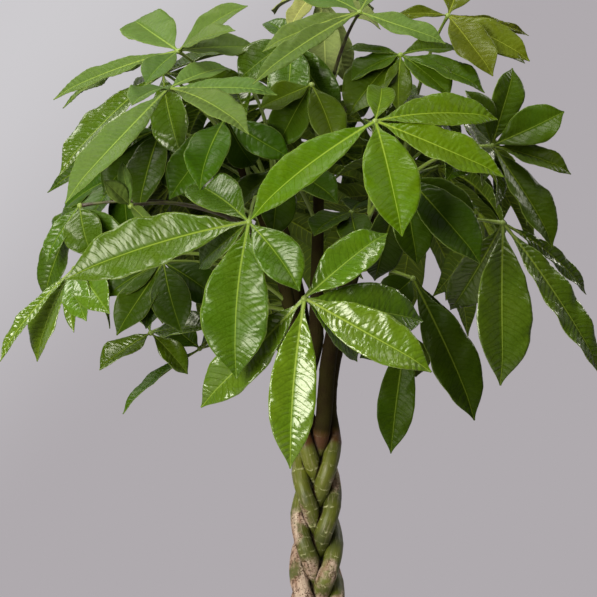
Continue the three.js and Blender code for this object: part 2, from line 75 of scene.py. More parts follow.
class Skins:
    """Closed skins that together make one piece: each is a run of rings of points, closed at its ends."""

    def __init__(self):
        self.points, self.quads, self.fans = [], [], []
        self.quad_maps, self.fan_maps = [], []
        self.quad_finish, self.fan_finish = [], []
        self.values = {}
        self.count = 0

    def add(self, rings, cell=(0, 0, 1, 1), finish=0, **values):
        """Adds one skin. cell is its share of the bake map, finish its material by column."""
        rows, around = rings.shape[:2]
        ends = np.stack([rings[0].mean(axis=0), rings[-1].mean(axis=0)])
        self.points.append(np.concatenate([rings.reshape(-1, 3), ends]))
        by_column = np.broadcast_to(np.asarray(finish), (around,))
        self.add_walls(rows, around, cell, by_column)
        self.add_ends(rows, around, cell, by_column)
        for name, value in values.items():
            value = np.asarray(value, dtype=float)
            shape = (rows, around, 4) if value.shape[-1:] == (4,) else (rows, around)
            value = np.broadcast_to(value, shape)
            tips = np.stack([value[0].mean(axis=0), value[-1].mean(axis=0)])
            flat = np.concatenate([value.reshape((rows * around,) + shape[2:]), tips])
            self.values.setdefault(name, []).append(flat)
        self.count += rows * around + 2

    def add_walls(self, rows, around, cell, by_column):
        """The four-sided faces between one ring and the next, with their map and material."""
        left, low, right, high = cell
        row, column = np.meshgrid(np.arange(rows - 1), np.arange(around), indexing="ij")
        after = (column + 1) % around
        here, above = row * around, (row + 1) * around
        quads = np.stack([here + column, here + after, above + after, above + column], axis=-1)
        self.quads.append(self.count + quads.reshape(-1, 4))
        u0, u1 = in_cell(left, right, column / around), in_cell(left, right, (column + 1) / around)
        v0, v1 = in_cell(low, high, row / (rows - 1)), in_cell(low, high, (row + 1) / (rows - 1))
        corners = np.stack([u0, v0, u1, v0, u1, v1, u0, v1], axis=-1)
        self.quad_maps.append(corners.reshape(-1, 2))
        self.quad_finish.append(np.broadcast_to(by_column, (rows - 1, around)).reshape(-1))

    def add_ends(self, rows, around, cell, by_column):
        """The fans of three-sided faces that close the first ring and the last."""
        left, low, right, high = cell
        column = np.arange(around)
        after = (column + 1) % around
        top = (rows - 1) * around
        centre = np.full(around, rows * around)
        first = np.stack([centre, after, column], axis=-1)
        last = np.stack([top + column, top + after, centre + 1], axis=-1)
        self.fans.append(self.count + np.concatenate([first, last]))
        near, far = in_cell(left, right, column / around), in_cell(left, right, (column + 1) / around)
        middle = in_cell(left, right, (column + 0.5) / around)
        bottom, ceiling = np.full(around, low), np.full(around, high)
        inner, outer = np.full(around, in_cell(low, high, 0.0)), np.full(around, in_cell(low, high, 1.0))
        first_map = np.stack([middle, bottom, far, inner, near, inner], axis=-1)
        last_map = np.stack([near, outer, far, outer, middle, ceiling], axis=-1)
        self.fan_maps.append(np.concatenate([first_map, last_map]).reshape(-1, 2))
        self.fan_finish.append(np.concatenate([by_column, by_column]))

    def piece(self, name, finishes, slot, *nodes):
        """The gathered skins as one named piece that rides on the root body and stands for these nodes."""
        mesh = bpy.data.meshes.new(name)
        points = np.concatenate(self.points) * MM
        quads, fans = np.concatenate(self.quads), np.concatenate(self.fans)
        mesh.vertices.add(len(points))
        mesh.vertices.foreach_set("co", points.astype(np.float32).ravel())
        corners = np.concatenate([quads.ravel(), fans.ravel()])
        mesh.loops.add(len(corners))
        mesh.loops.foreach_set("vertex_index", corners.astype(np.int32))
        mesh.polygons.add(len(quads) + len(fans))
        starts = np.concatenate([np.arange(len(quads)) * 4, quads.size + np.arange(len(fans)) * 3])
        mesh.polygons.foreach_set("loop_start", starts.astype(np.int32))
        chosen = np.concatenate(self.quad_finish + self.fan_finish)
        mesh.polygons.foreach_set("material_index", chosen.astype(np.int32))
        mesh.polygons.foreach_set("use_smooth", np.ones(len(starts), dtype=bool))
        layer = mesh.uv_layers.new(name="OFBake")
        maps = np.concatenate(self.quad_maps + self.fan_maps)
        layer.data.foreach_set("uv", maps.astype(np.float32).ravel())
        for value_name, parts in self.values.items():
            value = np.concatenate(parts)
            kind, field = ("FLOAT_COLOR", "color") if value.ndim == 2 else ("FLOAT", "value")
            attribute = mesh.attributes.new(value_name, kind, "POINT")
            attribute.data.foreach_set(field, value.astype(np.float32).ravel())
        mesh.update(calc_edges=True)
        mesh.validate()
        for finish in finishes:
            mesh.materials.append(finish)
        made = bpy.data.objects.new(name, mesh)
        bpy.context.scene.collection.objects.link(made)
        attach(made, "root")
        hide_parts(*nodes)
        return made


def round_rings(profile, around):
    """Rings round the upright axis from radius and height pairs."""
    angle = 2 * np.pi * np.arange(around) / around
    r, z = np.asarray(profile, dtype=float).T
    x = r[:, None] * np.cos(angle)
    y = r[:, None] * np.sin(angle)
    return np.stack([x, y, np.broadcast_to(z[:, None], x.shape)], axis=-1)


def paint(code):
    """A colour written as a web code, as linear red, green, blue and alpha."""
    parts = [int(code[i:i + 2], 16) / 255 for i in (1, 3, 5)]
    return [p / 12.92 if p <= 0.04045 else ((p + 0.055) / 1.055) ** 2.4 for p in parts] + [1.0]


def fill(tree, socket, value):
    """Links a socket to another node's output, or sets its plain value."""
    if isinstance(value, bpy.types.NodeSocket):
        tree.links.new(value, socket)
    else:
        socket.default_value = value


def node(tree, kind, settings=None, **inputs):
    """Adds a shader node, sets its options, and fills or links its inputs by name."""
    made = tree.nodes.new("ShaderNode" + kind)
    for key, value in (settings or {}).items():
        setattr(made, key, value)
    for key, value in inputs.items():
        fill(tree, made.inputs[key.replace("_", " ")], value)
    return made


def reckon(tree, operation, *values, clamp=False):
    """The output of a Math node."""
    made = tree.nodes.new("ShaderNodeMath")
    made.operation = operation
    made.use_clamp = clamp
    for socket, value in zip(made.inputs, values):
        fill(tree, socket, value)
    return made.outputs[0]


def between(tree, value, low, high, start=0.0, end=1.0):
    """A value eased from start to end as it goes from low to high."""
    made = tree.nodes.new("ShaderNodeMapRange")
    made.interpolation_type = "SMOOTHSTEP"
    for socket, number in zip(made.inputs, (value, low, high, start, end)):
        fill(tree, socket, number)
    return made.outputs[0]


def mixed(tree, mask, under, over):
    """A colour going from under to over by a mask."""
    made = tree.nodes.new("ShaderNodeMix")
    made.data_type = "RGBA"
    fill(tree, made.inputs[0], mask)
    fill(tree, made.inputs[6], under)
    fill(tree, made.inputs[7], over)
    return made.outputs[2]


def new_group(name, inputs, outputs):
    """An empty shader node group with its named sockets, and its two end nodes."""
    group = bpy.data.node_groups.new(name, "ShaderNodeTree")
    for label, kind, default in inputs:
        socket = group.interface.new_socket(label, in_out="INPUT", socket_type="NodeSocket" + kind)
        if default is not None:
            socket.default_value = default
    for label, kind in outputs:
        group.interface.new_socket(label, in_out="OUTPUT", socket_type="NodeSocket" + kind)
    return group, group.nodes.new("NodeGroupInput"), group.nodes.new("NodeGroupOutput")


def place(tree, group, **inputs):
    """Places a node group, fills its inputs by name and gives what it puts out."""
    return node(tree, "Group", {"node_tree": group}, **inputs).outputs[0]


def mottled(tree, vector, scale, detail, contrast):
    """Soft uneven patches, from 0 to 1."""
    cloud = node(tree, "TexNoise", Vector=vector, Scale=scale, Detail=detail, Roughness=0.55)
    centred = reckon(tree, "SUBTRACT", cloud.outputs[0], 0.5)
    return reckon(tree, "MULTIPLY_ADD", centred, contrast, 0.5, clamp=True)


def mottle_group():
    """The soft uneven patches as a group."""
    group, start, end = new_group(
        "mottle",
        [("Vector", "Vector", None), ("Scale", "Float", 20.0),
         ("Detail", "Float", 3.0), ("Contrast", "Float", 1.0)],
        [("Mask", "Float")],
    )
    given = [start.outputs[label] for label in ("Vector", "Scale", "Detail", "Contrast")]
    group.links.new(mottled(group, *given), end.inputs["Mask"])
    return group


def speck_group():
    """Small round specks over a share of the surface."""
    group, start, end = new_group(
        "specks",
        [("Vector", "Vector", None), ("Scale", "Float", 300.0),
         ("Size", "Float", 0.25), ("Share", "Float", 0.4)],
        [("Mask", "Float")],
    )
    cells = node(group, "TexVoronoi", Vector=start.outputs["Vector"], Scale=start.outputs["Scale"])
    lot = node(group, "SeparateColor", Color=cells.outputs["Color"])
    chosen = reckon(group, "LESS_THAN", lot.outputs[0], start.outputs["Share"])
    inner = reckon(group, "MULTIPLY", start.outputs["Size"], 0.5)
    spot = between(group, cells.outputs["Distance"], inner, start.outputs["Size"], 1.0, 0.0)
    group.links.new(reckon(group, "MULTIPLY", spot, chosen), end.inputs["Mask"])
    return group


def relief_group():
    """A fine uneven surface as a normal, from noise of one scale."""
    group, start, end = new_group(
        "relief",
        [("Vector", "Vector", None), ("Scale", "Float", 200.0), ("Strength", "Float", 0.2),
         ("Depth", "Float", 0.001), ("Normal", "Vector", None)],
        [("Normal", "Vector")],
    )
    cloud = node(group, "TexNoise", Vector=start.outputs["Vector"], Scale=start.outputs["Scale"],
                 Detail=4.0)
    bump = node(group, "Bump", Strength=start.outputs["Strength"], Distance=start.outputs["Depth"],
                Height=cloud.outputs[0])
    group.links.new(start.outputs["Normal"], bump.inputs["Normal"])
    group.links.new(bump.outputs[0], end.inputs["Normal"])
    return group


MOTTLE = mottle_group()
SPECKS = speck_group()
RELIEF = relief_group()


def new_material(name):
    """An empty node material with its Principled shader, the tree and object coordinates."""
    material = bpy.data.materials.new(name)
    material.use_nodes = True
    tree = material.node_tree
    return material, tree, tree.nodes["Principled BSDF"], node(tree, "TexCoord").outputs["Object"]


def value_of(tree, name, output="Fac"):
    """What a piece's mesh stores under a name at each point."""
    return node(tree, "Attribute", {"attribute_name": name}).outputs[output]


def glaze_material():
    """Satin glaze, softly clouded and finely speckled, worn through to the clay at the edges."""
    material, tree, shader, where = new_material("satin_glaze")
    cloud = place(tree, MOTTLE, Vector=where, Scale=14.0, Detail=4.0, Contrast=1.8)
    tone = mixed(tree, cloud, paint(GLAZE_GREY), paint(GLAZE_PALE))
    spots = place(tree, SPECKS, Vector=where, Scale=420.0, Size=0.22, Share=0.16)
    tone = mixed(tree, reckon(tree, "MULTIPLY", spots, 0.6), tone, paint(GLAZE_SPECK))
    worn = reckon(tree, "MULTIPLY", value_of(tree, "worn"), between(tree, cloud, 0.2, 0.7, 0.35, 0.9))
    fill(tree, shader.inputs["Base Color"], mixed(tree, worn, tone, paint(CLAY_EDGE)))
    fill(tree, shader.inputs["Roughness"], between(tree, cloud, 0.1, 0.9, 0.36, 0.5))
    ground = place(tree, RELIEF, Vector=where, Scale=160.0, Strength=0.25, Depth=0.0006)
    fill(tree, shader.inputs["Normal"], ground)
    return material


def arc(centre, radius, start, end, steps):
    """Points on an arc, as radius and height pairs, between two angles in degrees."""
    turn = np.radians(np.linspace(start, end, steps))
    return [(centre[0] + radius * math.cos(a), centre[1] + radius * math.sin(a)) for a in turn]


def pot_outer(z):
    """Outside radius of the pot at a height, below the lip."""
    band_bottom = POT_HEIGHT - RIM_BAND_HEIGHT
    step = min(max((z - band_bottom) / RIM_BAND_STEP, 0), 1)
    ease = step * step * (3 - 2 * step)
    taper = POT_BASE_RADIUS + (POT_RIM_RADIUS - POT_BASE_RADIUS) * z / POT_HEIGHT
    ripple = THROWING_RIPPLE * math.sin(2 * math.pi * z / THROWING_PITCH)
    return taper - RIM_BAND_STEP * (1 - ease) * min(z / band_bottom, 1) - THROWING_RIPPLE + ripple


def pot_inner(z):
    """Inside radius of the pot at a height."""
    slope = (POT_RIM_RADIUS - POT_BASE_RADIUS) / POT_HEIGHT
    return POT_RIM_RADIUS - POT_WALL - (POT_HEIGHT - z) * slope - RIM_BAND_STEP * (1 - z / POT_HEIGHT)


def pot_profile():
    """The pot's section from the middle of its underside, over the lip, to the middle of its floor."""
    under = [(r, 0.0) for r in np.linspace(1, POT_BASE_RADIUS - FOOT_ROUND, 8)]
    foot = arc((POT_BASE_RADIUS - FOOT_ROUND, FOOT_ROUND), FOOT_ROUND, -80, 0, 6)
    wall = [(pot_outer(z), z) for z in np.linspace(2 * FOOT_ROUND, POT_HEIGHT - LIP_ROUND - 1, 110)]
    lip_out = arc((POT_RIM_RADIUS - LIP_ROUND, POT_HEIGHT - LIP_ROUND), LIP_ROUND, 0, 90, 8)
    inner_top = POT_RIM_RADIUS - POT_WALL
    lip_in = arc((inner_top + LIP_ROUND, POT_HEIGHT - LIP_ROUND), LIP_ROUND, 95, 180, 8)
    inside = [(pot_inner(z), z) for z in np.linspace(POT_HEIGHT - LIP_ROUND - 2, POT_FLOOR, 30)]
    floor = [(r, float(POT_FLOOR)) for r in np.linspace(pot_inner(POT_FLOOR) - 2, 1, 6)]
    return under + foot + wall + lip_out + lip_in + inside + floor


def glaze_wear(r, z):
    """How far the glaze is worn, from 0 to 1: along the lip and at the step under the rim band."""
    if r <= POT_RIM_RADIUS - POT_WALL - 2:
        return 0.0
    step = POT_HEIGHT - RIM_BAND_HEIGHT + RIM_BAND_STEP
    lip_worn = math.exp(-((z - POT_HEIGHT) / LIP_WEAR) ** 2)
    return min(lip_worn + 0.7 * math.exp(-((z - step) / BAND_WEAR) ** 2), 1)


pot_section = pot_profile()
pot_worn = np.array([glaze_wear(r, z) for r, z in pot_section])
pot = Skins()
pot.add(round_rings(pot_section, POT_AROUND), worn=pot_worn[:, None])
pot.piece("glazed_pot", [glaze_material()], "pot", "pot")

# --- Potting soil ---
# A dark, crumbly mix of peat and fine bark with a few white grains of perlite, slightly mounded.
# It fills the pot to 20 mm under the rim, and the stems stand in it.
SOIL_TOP = 165
SOIL_GAP = 0.3
SOIL_MOUND = 4
SOIL_AROUND = 180
SOIL_RINGS = 60
SOIL_LUMP = 1.5
SOIL_LUMP_WIDTH = 14
SOIL_EDGE_DROP = 0.8
CRUMB_GRID = 34
CRUMB_SIZES = (1.6, 4.2)
GRAIN_GRID = 9
GRAIN_SIZES = (1.2, 2.3)
GRAIN_RINGS = 4
GRAIN_SIDES = 7
GRAIN_ROUGH = 0.28
GRAIN_FLAT = 0.72
GRAIN_ENDS = 0.35
GRAIN_LIFT = 0.25
CRUMB_SEED = 7
CRUMB_BARK = 0.55
PEAT_DARK = "#2A1E16"
PEAT_BROWN = "#54402F"
BARK_CHIP = "#7A5A3E"
PERLITE_WHITE = "#D9D4C8"


def soil_height(x, y):
    """Height of the soil's surface at a place."""
    edge = pot_inner(SOIL_TOP)
    share = min(math.hypot(x, y) / edge, 1)
    lump = noise.fractal(Vector((x / SOIL_LUMP_WIDTH, y / SOIL_LUMP_WIDTH, 3.1)), 0.9, 2.1, 4)
    return SOIL_TOP - SOIL_EDGE_DROP + SOIL_MOUND * (1 - share * share) + SOIL_LUMP * lump * (1 - share ** 6)


def soil_rings():
    """The filling from the middle of its underside, up the wall of the pot, to the middle of its top."""
    bottom = POT_FLOOR + SOIL_GAP
    rings = [round_rings([(r, bottom)], SOIL_AROUND)[0] for r in (2, 40, 70)]
    for z in np.linspace(bottom, SOIL_TOP - 3, 10):
        rings.append(round_rings([(pot_inner(z) - SOIL_GAP, z)], SOIL_AROUND)[0])
    for r in np.linspace(pot_inner(SOIL_TOP) - SOIL_GAP, 1.5, SOIL_RINGS):
        ring = round_rings([(r, 0)], SOIL_AROUND)[0]
        ring[:, 2] = [soil_height(x, y) for x, y, _ in ring]
        rings.append(ring)
    return np.stack(rings)


def lump_rings(centre, size, stretch, turn, draw):
    """A small uneven grain: a rough ball of a few rings, stretched and turned."""
    polar = np.linspace(GRAIN_ENDS, math.pi - GRAIN_ENDS, GRAIN_RINGS)
    angle = 2 * np.pi * np.arange(GRAIN_SIDES) / GRAIN_SIDES + turn
    rough = 1 + GRAIN_ROUGH * (draw.random((GRAIN_RINGS, GRAIN_SIDES)) - 0.5)
    ball = np.stack([
        np.sin(polar)[:, None] * np.cos(angle) * rough * stretch,
        np.sin(polar)[:, None] * np.sin(angle) * rough / stretch,
        -np.cos(polar)[:, None] * rough * GRAIN_FLAT,
    ], axis=-1)
    lean = np.array([[math.cos(turn), 0, math.sin(turn)], [0, 1, 0], [-math.sin(turn), 0, math.cos(turn)]])
    return centre + size * ball @ lean.T


def scatter(grid, sizes, draw):
    """One grain in each cell of a grid over the soil, moved about in it, with its map cell and its shade."""
    reach = pot_inner(SOIL_TOP) - 3
    step = 2 * reach / grid
    for i in range(grid):
        for j in range(grid):
            x = -reach + step * (i + draw.random())
            y = -reach + step * (j + draw.random())
            size = sizes[0] + (sizes[1] - sizes[0]) * draw.random() ** 2.5
            stretch, turn = 0.8 + 0.7 * draw.random(), 2 * math.pi * draw.random()
            shade = draw.random()
            if math.hypot(x, y) > reach - size:
                continue
            centre = np.array([x, y, soil_height(x, y) + GRAIN_LIFT * size])
            cell = (i / grid, j / grid, (i + 1) / grid, (j + 1) / grid)
            yield lump_rings(centre, size, stretch, turn, draw), cell, shade


def soil_material():
    """Peat in dark and brown patches with pale fibres; a crumb's shade makes it barkier."""
    material, tree, shader, where = new_material("peat_mix")
    cloud = place(tree, MOTTLE, Vector=where, Scale=90.0, Detail=6.0, Contrast=2.0)
    tone = mixed(tree, cloud, paint(PEAT_DARK), paint(PEAT_BROWN))
    fibres = place(tree, SPECKS, Vector=where, Scale=500.0, Size=0.35, Share=0.25)
    tone = mixed(tree, reckon(tree, "MULTIPLY", fibres, 0.5), tone, paint(BARK_CHIP))
    fill(tree, shader.inputs["Base Color"], mixed(tree, value_of(tree, "shade"), tone, paint(BARK_CHIP)))
    shader.inputs["Roughness"].default_value = 0.95
    ground = place(tree, RELIEF, Vector=where, Scale=420.0, Strength=0.9, Depth=0.002)
    fill(tree, shader.inputs["Normal"], ground)
    return material


def perlite_material():
    """White grains, stained here and there by the peat."""
    material, tree, shader, where = new_material("perlite")
    cloud = place(tree, MOTTLE, Vector=where, Scale=600.0, Detail=3.0, Contrast=2.0)
    stain = reckon(tree, "MULTIPLY", cloud, 0.45)
    fill(tree, shader.inputs["Base Color"], mixed(tree, stain, paint(PERLITE_WHITE), paint(PEAT_BROWN)))
    shader.inputs["Roughness"].default_value = 0.9
    ground = place(tree, RELIEF, Vector=where, Scale=900.0, Strength=0.6, Depth=0.001)
    fill(tree, shader.inputs["Normal"], ground)
    return material


draw = np.random.default_rng(CRUMB_SEED)
peat = soil_material()
soil = Skins()
soil.add(soil_rings(), shade=0.0)
soil.piece("soil_filling", [peat], "soil", "soil")
crumbs = Skins()
for rings, cell, shade in scatter(CRUMB_GRID, CRUMB_SIZES, draw):
    crumbs.add(rings, cell, shade=CRUMB_BARK * shade ** 3)
crumbs.piece("soil_crumbs", [peat], "soil")
grains = Skins()
for rings, cell, shade in scatter(GRAIN_GRID, GRAIN_SIZES, draw):
    grains.add(rings, cell)
grains.piece("perlite_grains", [perlite_material()], "soil")

# --- Braided stems ---
# Five young trunks planted together and braided while soft, pressed against each other as they thicken.
# Smooth green bark with pale ring scars, turning tan and speckled with age lower down, brown and painted dark
# as shade above.
STEM_COUNT = 5
STEM_AROUND = 28
STEM_STEP = 2.5
STEM_ROOT_DEPTH = 38
STEM_RADIUS_LOW = 12.9
STEM_TAPER_BRAID = 3.8
STEM_TAPER_TOP = 3.6
TAPER_START = 120
TAPER_MIDDLE = 560
TAPER_END = 880
BRAID_PITCH = 275
BRAID_TURN_END = 534
BRAID_REST = 60
BRAID_PHASE = 0.66
BRAID_WIDE = 0.9
BRAID_ASIDE = -1.7
BRAID_DEEP = 0.85
BRAID_SQUARE = 0.1
ROOT_SPREAD = 0.42
ROOT_SPREAD_HEIGHT = 55
SPLAY_START = 575
SPLAY_POWER = 2
STEM_TOP = [850, 835, 800, 865, 905]
SPLAY_REACH = [[-66, -40], [-48, 66], [52, -66], [86, 40], [6, -8]]
SPLAY_LEAD = 2
PARTING = [[-9, -3], [-3.5, 2], [0, 3], [-3, -4], [-13, 0.5]]
PARTING_RISE = [545, 585]
PARTING_FALL = [600, 665]
NODE_SPACING = 31
NODE_SWELL = 0.45
NODE_LENGTH = 2.2
NODE_WANDER = 9
NODE_WANDER_LENGTH = 40
NODE_STAGGER = 13
STEM_LUMP = 0.55
STEM_LUMP_LENGTH = 22
STEM_END_ROUND = 6
BARK_GREEN = "#5A6019"
BARK_GREEN_DEEP = "#2E350B"
BARK_SCAR = "#AEB083"
BARK_TAN = "#6C4E3E"
BARK_TAN_PALE = "#BCAB9B"
BARK_SPECK = "#3B2415"
BARK_BROWN_IN_SHADE = "#1F1407"
BARK_OLIVE_IN_SHADE = "#2B290B"
BARK_RED = "#451D0C"
BARK_CREVICE_SHADE = "#1C0C05"
BARK_YOUNG_AT = 560
BARK_OLD_AT = 280
BROWN_SHADE_STARTS_AT = 549
BROWN_SHADE_FULL_AT = 564
RED_STARTS_AT = 540
RED_FULL_AT = 547
RED_FADES_AT = 553
RED_GONE_AT = 564
GRAIN_STRETCH = 0.28
CREVICE_SHADE_REACH = 6


def smooth(value, low, high):
    """0 below low, 1 above high, and eased between."""
    t = np.clip((np.asarray(value, dtype=float) - low) / (high - low), 0, 1)
    return t * t * (3 - 2 * t)


def stem_radius(z):
    """Radius of a stem at a height."""
    low = STEM_TAPER_BRAID * smooth(z, TAPER_START, TAPER_MIDDLE)
    return STEM_RADIUS_LOW - low - STEM_TAPER_TOP * smooth(z, TAPER_MIDDLE, TAPER_END)


def stem_point(k, z):
    """Centre of one stem at a height: braided, apart in the soil and above the braid, then splayed."""
    past = min(max(z - BRAID_TURN_END, 0), BRAID_REST)
    turned = min(z, BRAID_TURN_END) + past - past * past / (2 * BRAID_REST)
    angle = 2 * math.pi * (turned / BRAID_PITCH + k / STEM_COUNT + BRAID_PHASE)
    rooted = float(smooth(SOIL_TOP + ROOT_SPREAD_HEIGHT - z, 0, ROOT_SPREAD_HEIGHT))
    reach = 2 * float(stem_radius(min(z, SPLAY_START))) * (1 + ROOT_SPREAD * rooted)
    splay = (max(z - SPLAY_START, 0) / (STEM_TOP[k] - SPLAY_START)) ** SPLAY_POWER
    apart = float(smooth(z, *PARTING_RISE) * (1 - smooth(z, *PARTING_FALL)))
    x = BRAID_WIDE * reach * (math.sin(angle) - BRAID_SQUARE * math.sin(3 * angle)) + BRAID_ASIDE
    y = -BRAID_DEEP * reach * math.sin(2 * angle)
    return np.array([
        x + splay * SPLAY_REACH[k][0] + apart * PARTING[k][0],
        y + splay * SPLAY_REACH[k][1] + apart * PARTING[k][1],
        z,
    ])


def unit(vector):
    """A vector of length 1 along the last axis."""
    return vector / np.linalg.norm(vector, axis=-1, keepdims=True)


def tube_rings(points, radii, sides):
    """Rings of a round tube along points. radii holds one number for each ring, or for each of its points."""
    points = np.asarray(points, dtype=float)
    along = unit(np.gradient(points, axis=0))
    across = np.array([1.0, 0.0, 0.0])
    angle = 2 * np.pi * np.arange(sides) / sides
    rings = []
    for i, direction in enumerate(along):
        across = unit(across - direction * across.dot(direction))
        other = np.cross(direction, across)
        spoke = np.outer(np.cos(angle), across) + np.outer(np.sin(angle), other)
        rings.append(points[i] + spoke * np.broadcast_to(radii[i], (sides,))[:, None])
    return np.stack(rings)


def stem_rings(k):
    """One stem with its gentle lumps and swollen leaf nodes, rounded off at the top."""
    bottom, top = SOIL_TOP - STEM_ROOT_DEPTH, STEM_TOP[k]
    heights = np.linspace(bottom, top, int((top - bottom) / STEM_STEP))
    points = np.stack([stem_point(k, z) for z in heights])
    angle = 2 * np.pi * np.arange(STEM_AROUND) / STEM_AROUND
    radii = []
    for z in heights:
        wander = NODE_WANDER * noise.noise(Vector((0.0, k * 7.3, z / NODE_WANDER_LENGTH)))
        ring_place = (z + wander + NODE_STAGGER * k) / NODE_SPACING
        near_node = abs(ring_place - round(ring_place)) * NODE_SPACING
        swell = NODE_SWELL * math.exp(-(near_node / NODE_LENGTH) ** 2)
        end = math.sqrt(max(1 - max((z - top) / STEM_END_ROUND + 1, 0) ** 2, 0.02))
        round_it = [(math.cos(a) * 0.8, math.sin(a) * 0.8 + 5 * k, z / STEM_LUMP_LENGTH) for a in angle]
        lumps = np.array([noise.noise(Vector(spot)) for spot in round_it])
        radii.append((float(stem_radius(z)) + swell + STEM_LUMP * lumps) * end)
    return tube_rings(points, radii, STEM_AROUND), heights


def crevice_share(rings, heights, k):
    """1 at the points where a stem lies against its neighbours, and 0 where it is open, for the painted shade
    in the crevices.
    """
    shares = []
    for ring, z in zip(rings, heights):
        others = np.stack([stem_point(j, z) for j in range(STEM_COUNT) if j != k])
        away = np.linalg.norm(ring[:, None, :2] - others[None, :, :2], axis=-1).min(axis=1)
        shares.append(1 - smooth(away - float(stem_radius(z)), -1, CREVICE_SHADE_REACH))
    return np.stack(shares)


def bark_grain(rings, heights, k):
    """Coordinates round and along a stem, short along it, which draws out what they carry in streaks."""
    angle = 2 * np.pi * np.arange(STEM_AROUND) / STEM_AROUND
    across = np.broadcast_to(np.cos(angle) * STEM_RADIUS_LOW, rings.shape[:2])
    deep = np.broadcast_to(np.sin(angle) * STEM_RADIUS_LOW, rings.shape[:2])
    along = np.broadcast_to(heights[:, None] * GRAIN_STRETCH + 300 * k, rings.shape[:2])
    return np.stack([across, deep, along, np.full(rings.shape[:2], 1 / MM)], axis=-1) * MM


def bark_material():
    """Green bark with pale ring scars, tan and flecked lower down, brown above; painted shade above and in
    the crevices.
    """
    material, tree, shader, where = new_material("young_bark")
    height = value_of(tree, "height")
    own = value_of(tree, "stem")
    grain = value_of(tree, "grain", "Vector")
    crevice = value_of(tree, "crevice")
    broad = place(tree, MOTTLE, Vector=where, Scale=30.0, Detail=4.0, Contrast=2.6)
    fine = place(tree, MOTTLE, Vector=where, Scale=150.0, Detail=5.0, Contrast=2.0)
    streak = place(tree, MOTTLE, Vector=grain, Scale=320.0, Detail=6.0, Contrast=2.8)
    green = mixed(tree, broad, paint(BARK_GREEN_DEEP), paint(BARK_GREEN))
    green = mixed(tree, between(tree, streak, 0.55, 0.9, 0.0, 0.14), green, paint(BARK_TAN_PALE))
    # Ring scars lie closer and farther apart by chance, and break off round the stem
    run = reckon(tree, "MULTIPLY_ADD", own, 3.7, reckon(tree, "MULTIPLY", height, 78.0))
    bends = reckon(tree, "MULTIPLY_ADD", fine, 0.4, run)
    lines = node(tree, "TexNoise", {"noise_dimensions": "1D"}, W=bends, Scale=1.0, Detail=1.0)
    off = reckon(tree, "ABSOLUTE", reckon(tree, "SUBTRACT", lines.outputs[0], 0.5))
    scar = reckon(tree, "MULTIPLY", between(tree, off, 0.0, 0.04, 1.0, 0.0), between(tree, fine, 0.4, 0.85))
    green = mixed(tree, reckon(tree, "MULTIPLY", scar, 0.9), green, paint(BARK_SCAR))
    # Old tan bark takes over in patches toward the ground, streaked and flecked with brown. Its age also sets
    # the level of shine, so it is worked out in the material itself
    worn = place(tree, MOTTLE, Vector=grain, Scale=90.0, Detail=7.0, Contrast=3.4)
    old = mixed(tree, reckon(tree, "MULTIPLY_ADD", streak, 0.3, reckon(tree, "MULTIPLY", worn, 0.7)),
                paint(BARK_TAN), paint(BARK_TAN_PALE))
    flecks = place(tree, SPECKS, Vector=where, Scale=560.0, Size=0.6, Share=0.75)
    splits = place(tree, SPECKS, Vector=grain, Scale=330.0, Size=0.5, Share=0.4)
    dark = reckon(tree, "MULTIPLY", reckon(tree, "MAXIMUM", flecks, splits), between(tree, fine, 0.25, 0.7))
    blotch = place(tree, MOTTLE, Vector=where, Scale=190.0, Detail=8.0, Contrast=3.6)
    dark = reckon(tree, "MAXIMUM", dark, between(tree, blotch, 0.66, 0.98, 0.0, 0.75))
    old = mixed(tree, dark, old, paint(BARK_SPECK))
    age = mottled(tree, where, 17.0, 5.0, 3.0)
    level = between(tree, height, BARK_YOUNG_AT * MM, BARK_OLD_AT * MM, -0.42, 0.8)
    aged = between(tree, reckon(tree, "ADD", age, level), 0.54, 0.82)
    tone = mixed(tree, aged, green, old)
    # Stems above the braid are brown, painted darker as shade under the crown, with a reddish ring where the
    # braid ends
    upper = mixed(tree, broad, paint(BARK_BROWN_IN_SHADE), paint(BARK_OLIVE_IN_SHADE))
    above = between(tree, height, BROWN_SHADE_STARTS_AT * MM, BROWN_SHADE_FULL_AT * MM)
    tone = mixed(tree, above, tone, upper)
    ring_start = between(tree, height, RED_STARTS_AT * MM, RED_FULL_AT * MM)
    ring_end = between(tree, height, RED_GONE_AT * MM, RED_FADES_AT * MM, 0.0, 0.85)
    tone = mixed(tree, reckon(tree, "MULTIPLY", ring_start, ring_end), tone, paint(BARK_RED))
    # Painted shade: the bark is darkened nearly to black-brown where the stems lie against each other
    tone = mixed(tree, between(tree, crevice, 0.02, 0.5, 0.0, 0.97), tone, paint(BARK_CREVICE_SHADE))
    fill(tree, shader.inputs["Base Color"], tone)
    dullness = reckon(tree, "MAXIMUM", aged, above)
    fill(tree, shader.inputs["Roughness"], between(tree, dullness, 0.0, 1.0, 0.46, 0.85))
    fill(tree, shader.inputs["Specular IOR Level"], between(tree, dullness, 0.0, 1.0, 0.35, 0.1))
    skin = place(tree, RELIEF, Vector=grain, Scale=380.0, Strength=0.5, Depth=0.0009)
    raised = reckon(tree, "SUBTRACT", scar, reckon(tree, "MULTIPLY", dark, aged))
    bump = node(tree, "Bump", Strength=0.5, Distance=0.0008, Height=raised, Normal=skin)
    fill(tree, shader.inputs["Normal"], bump.outputs[0])
    return material


bark = bark_material()
for k in range(STEM_COUNT):
    rings, heights = stem_rings(k)
    stem = Skins()
    stem.add(rings, height=(heights * MM)[:, None], stem=float(k), grain=bark_grain(rings, heights, k),
             crevice=crevice_share(rings, heights, k))
    stem.piece(f"braid_stem_{k + 1}", [bark], "stem", f"stem_{k + 1}")

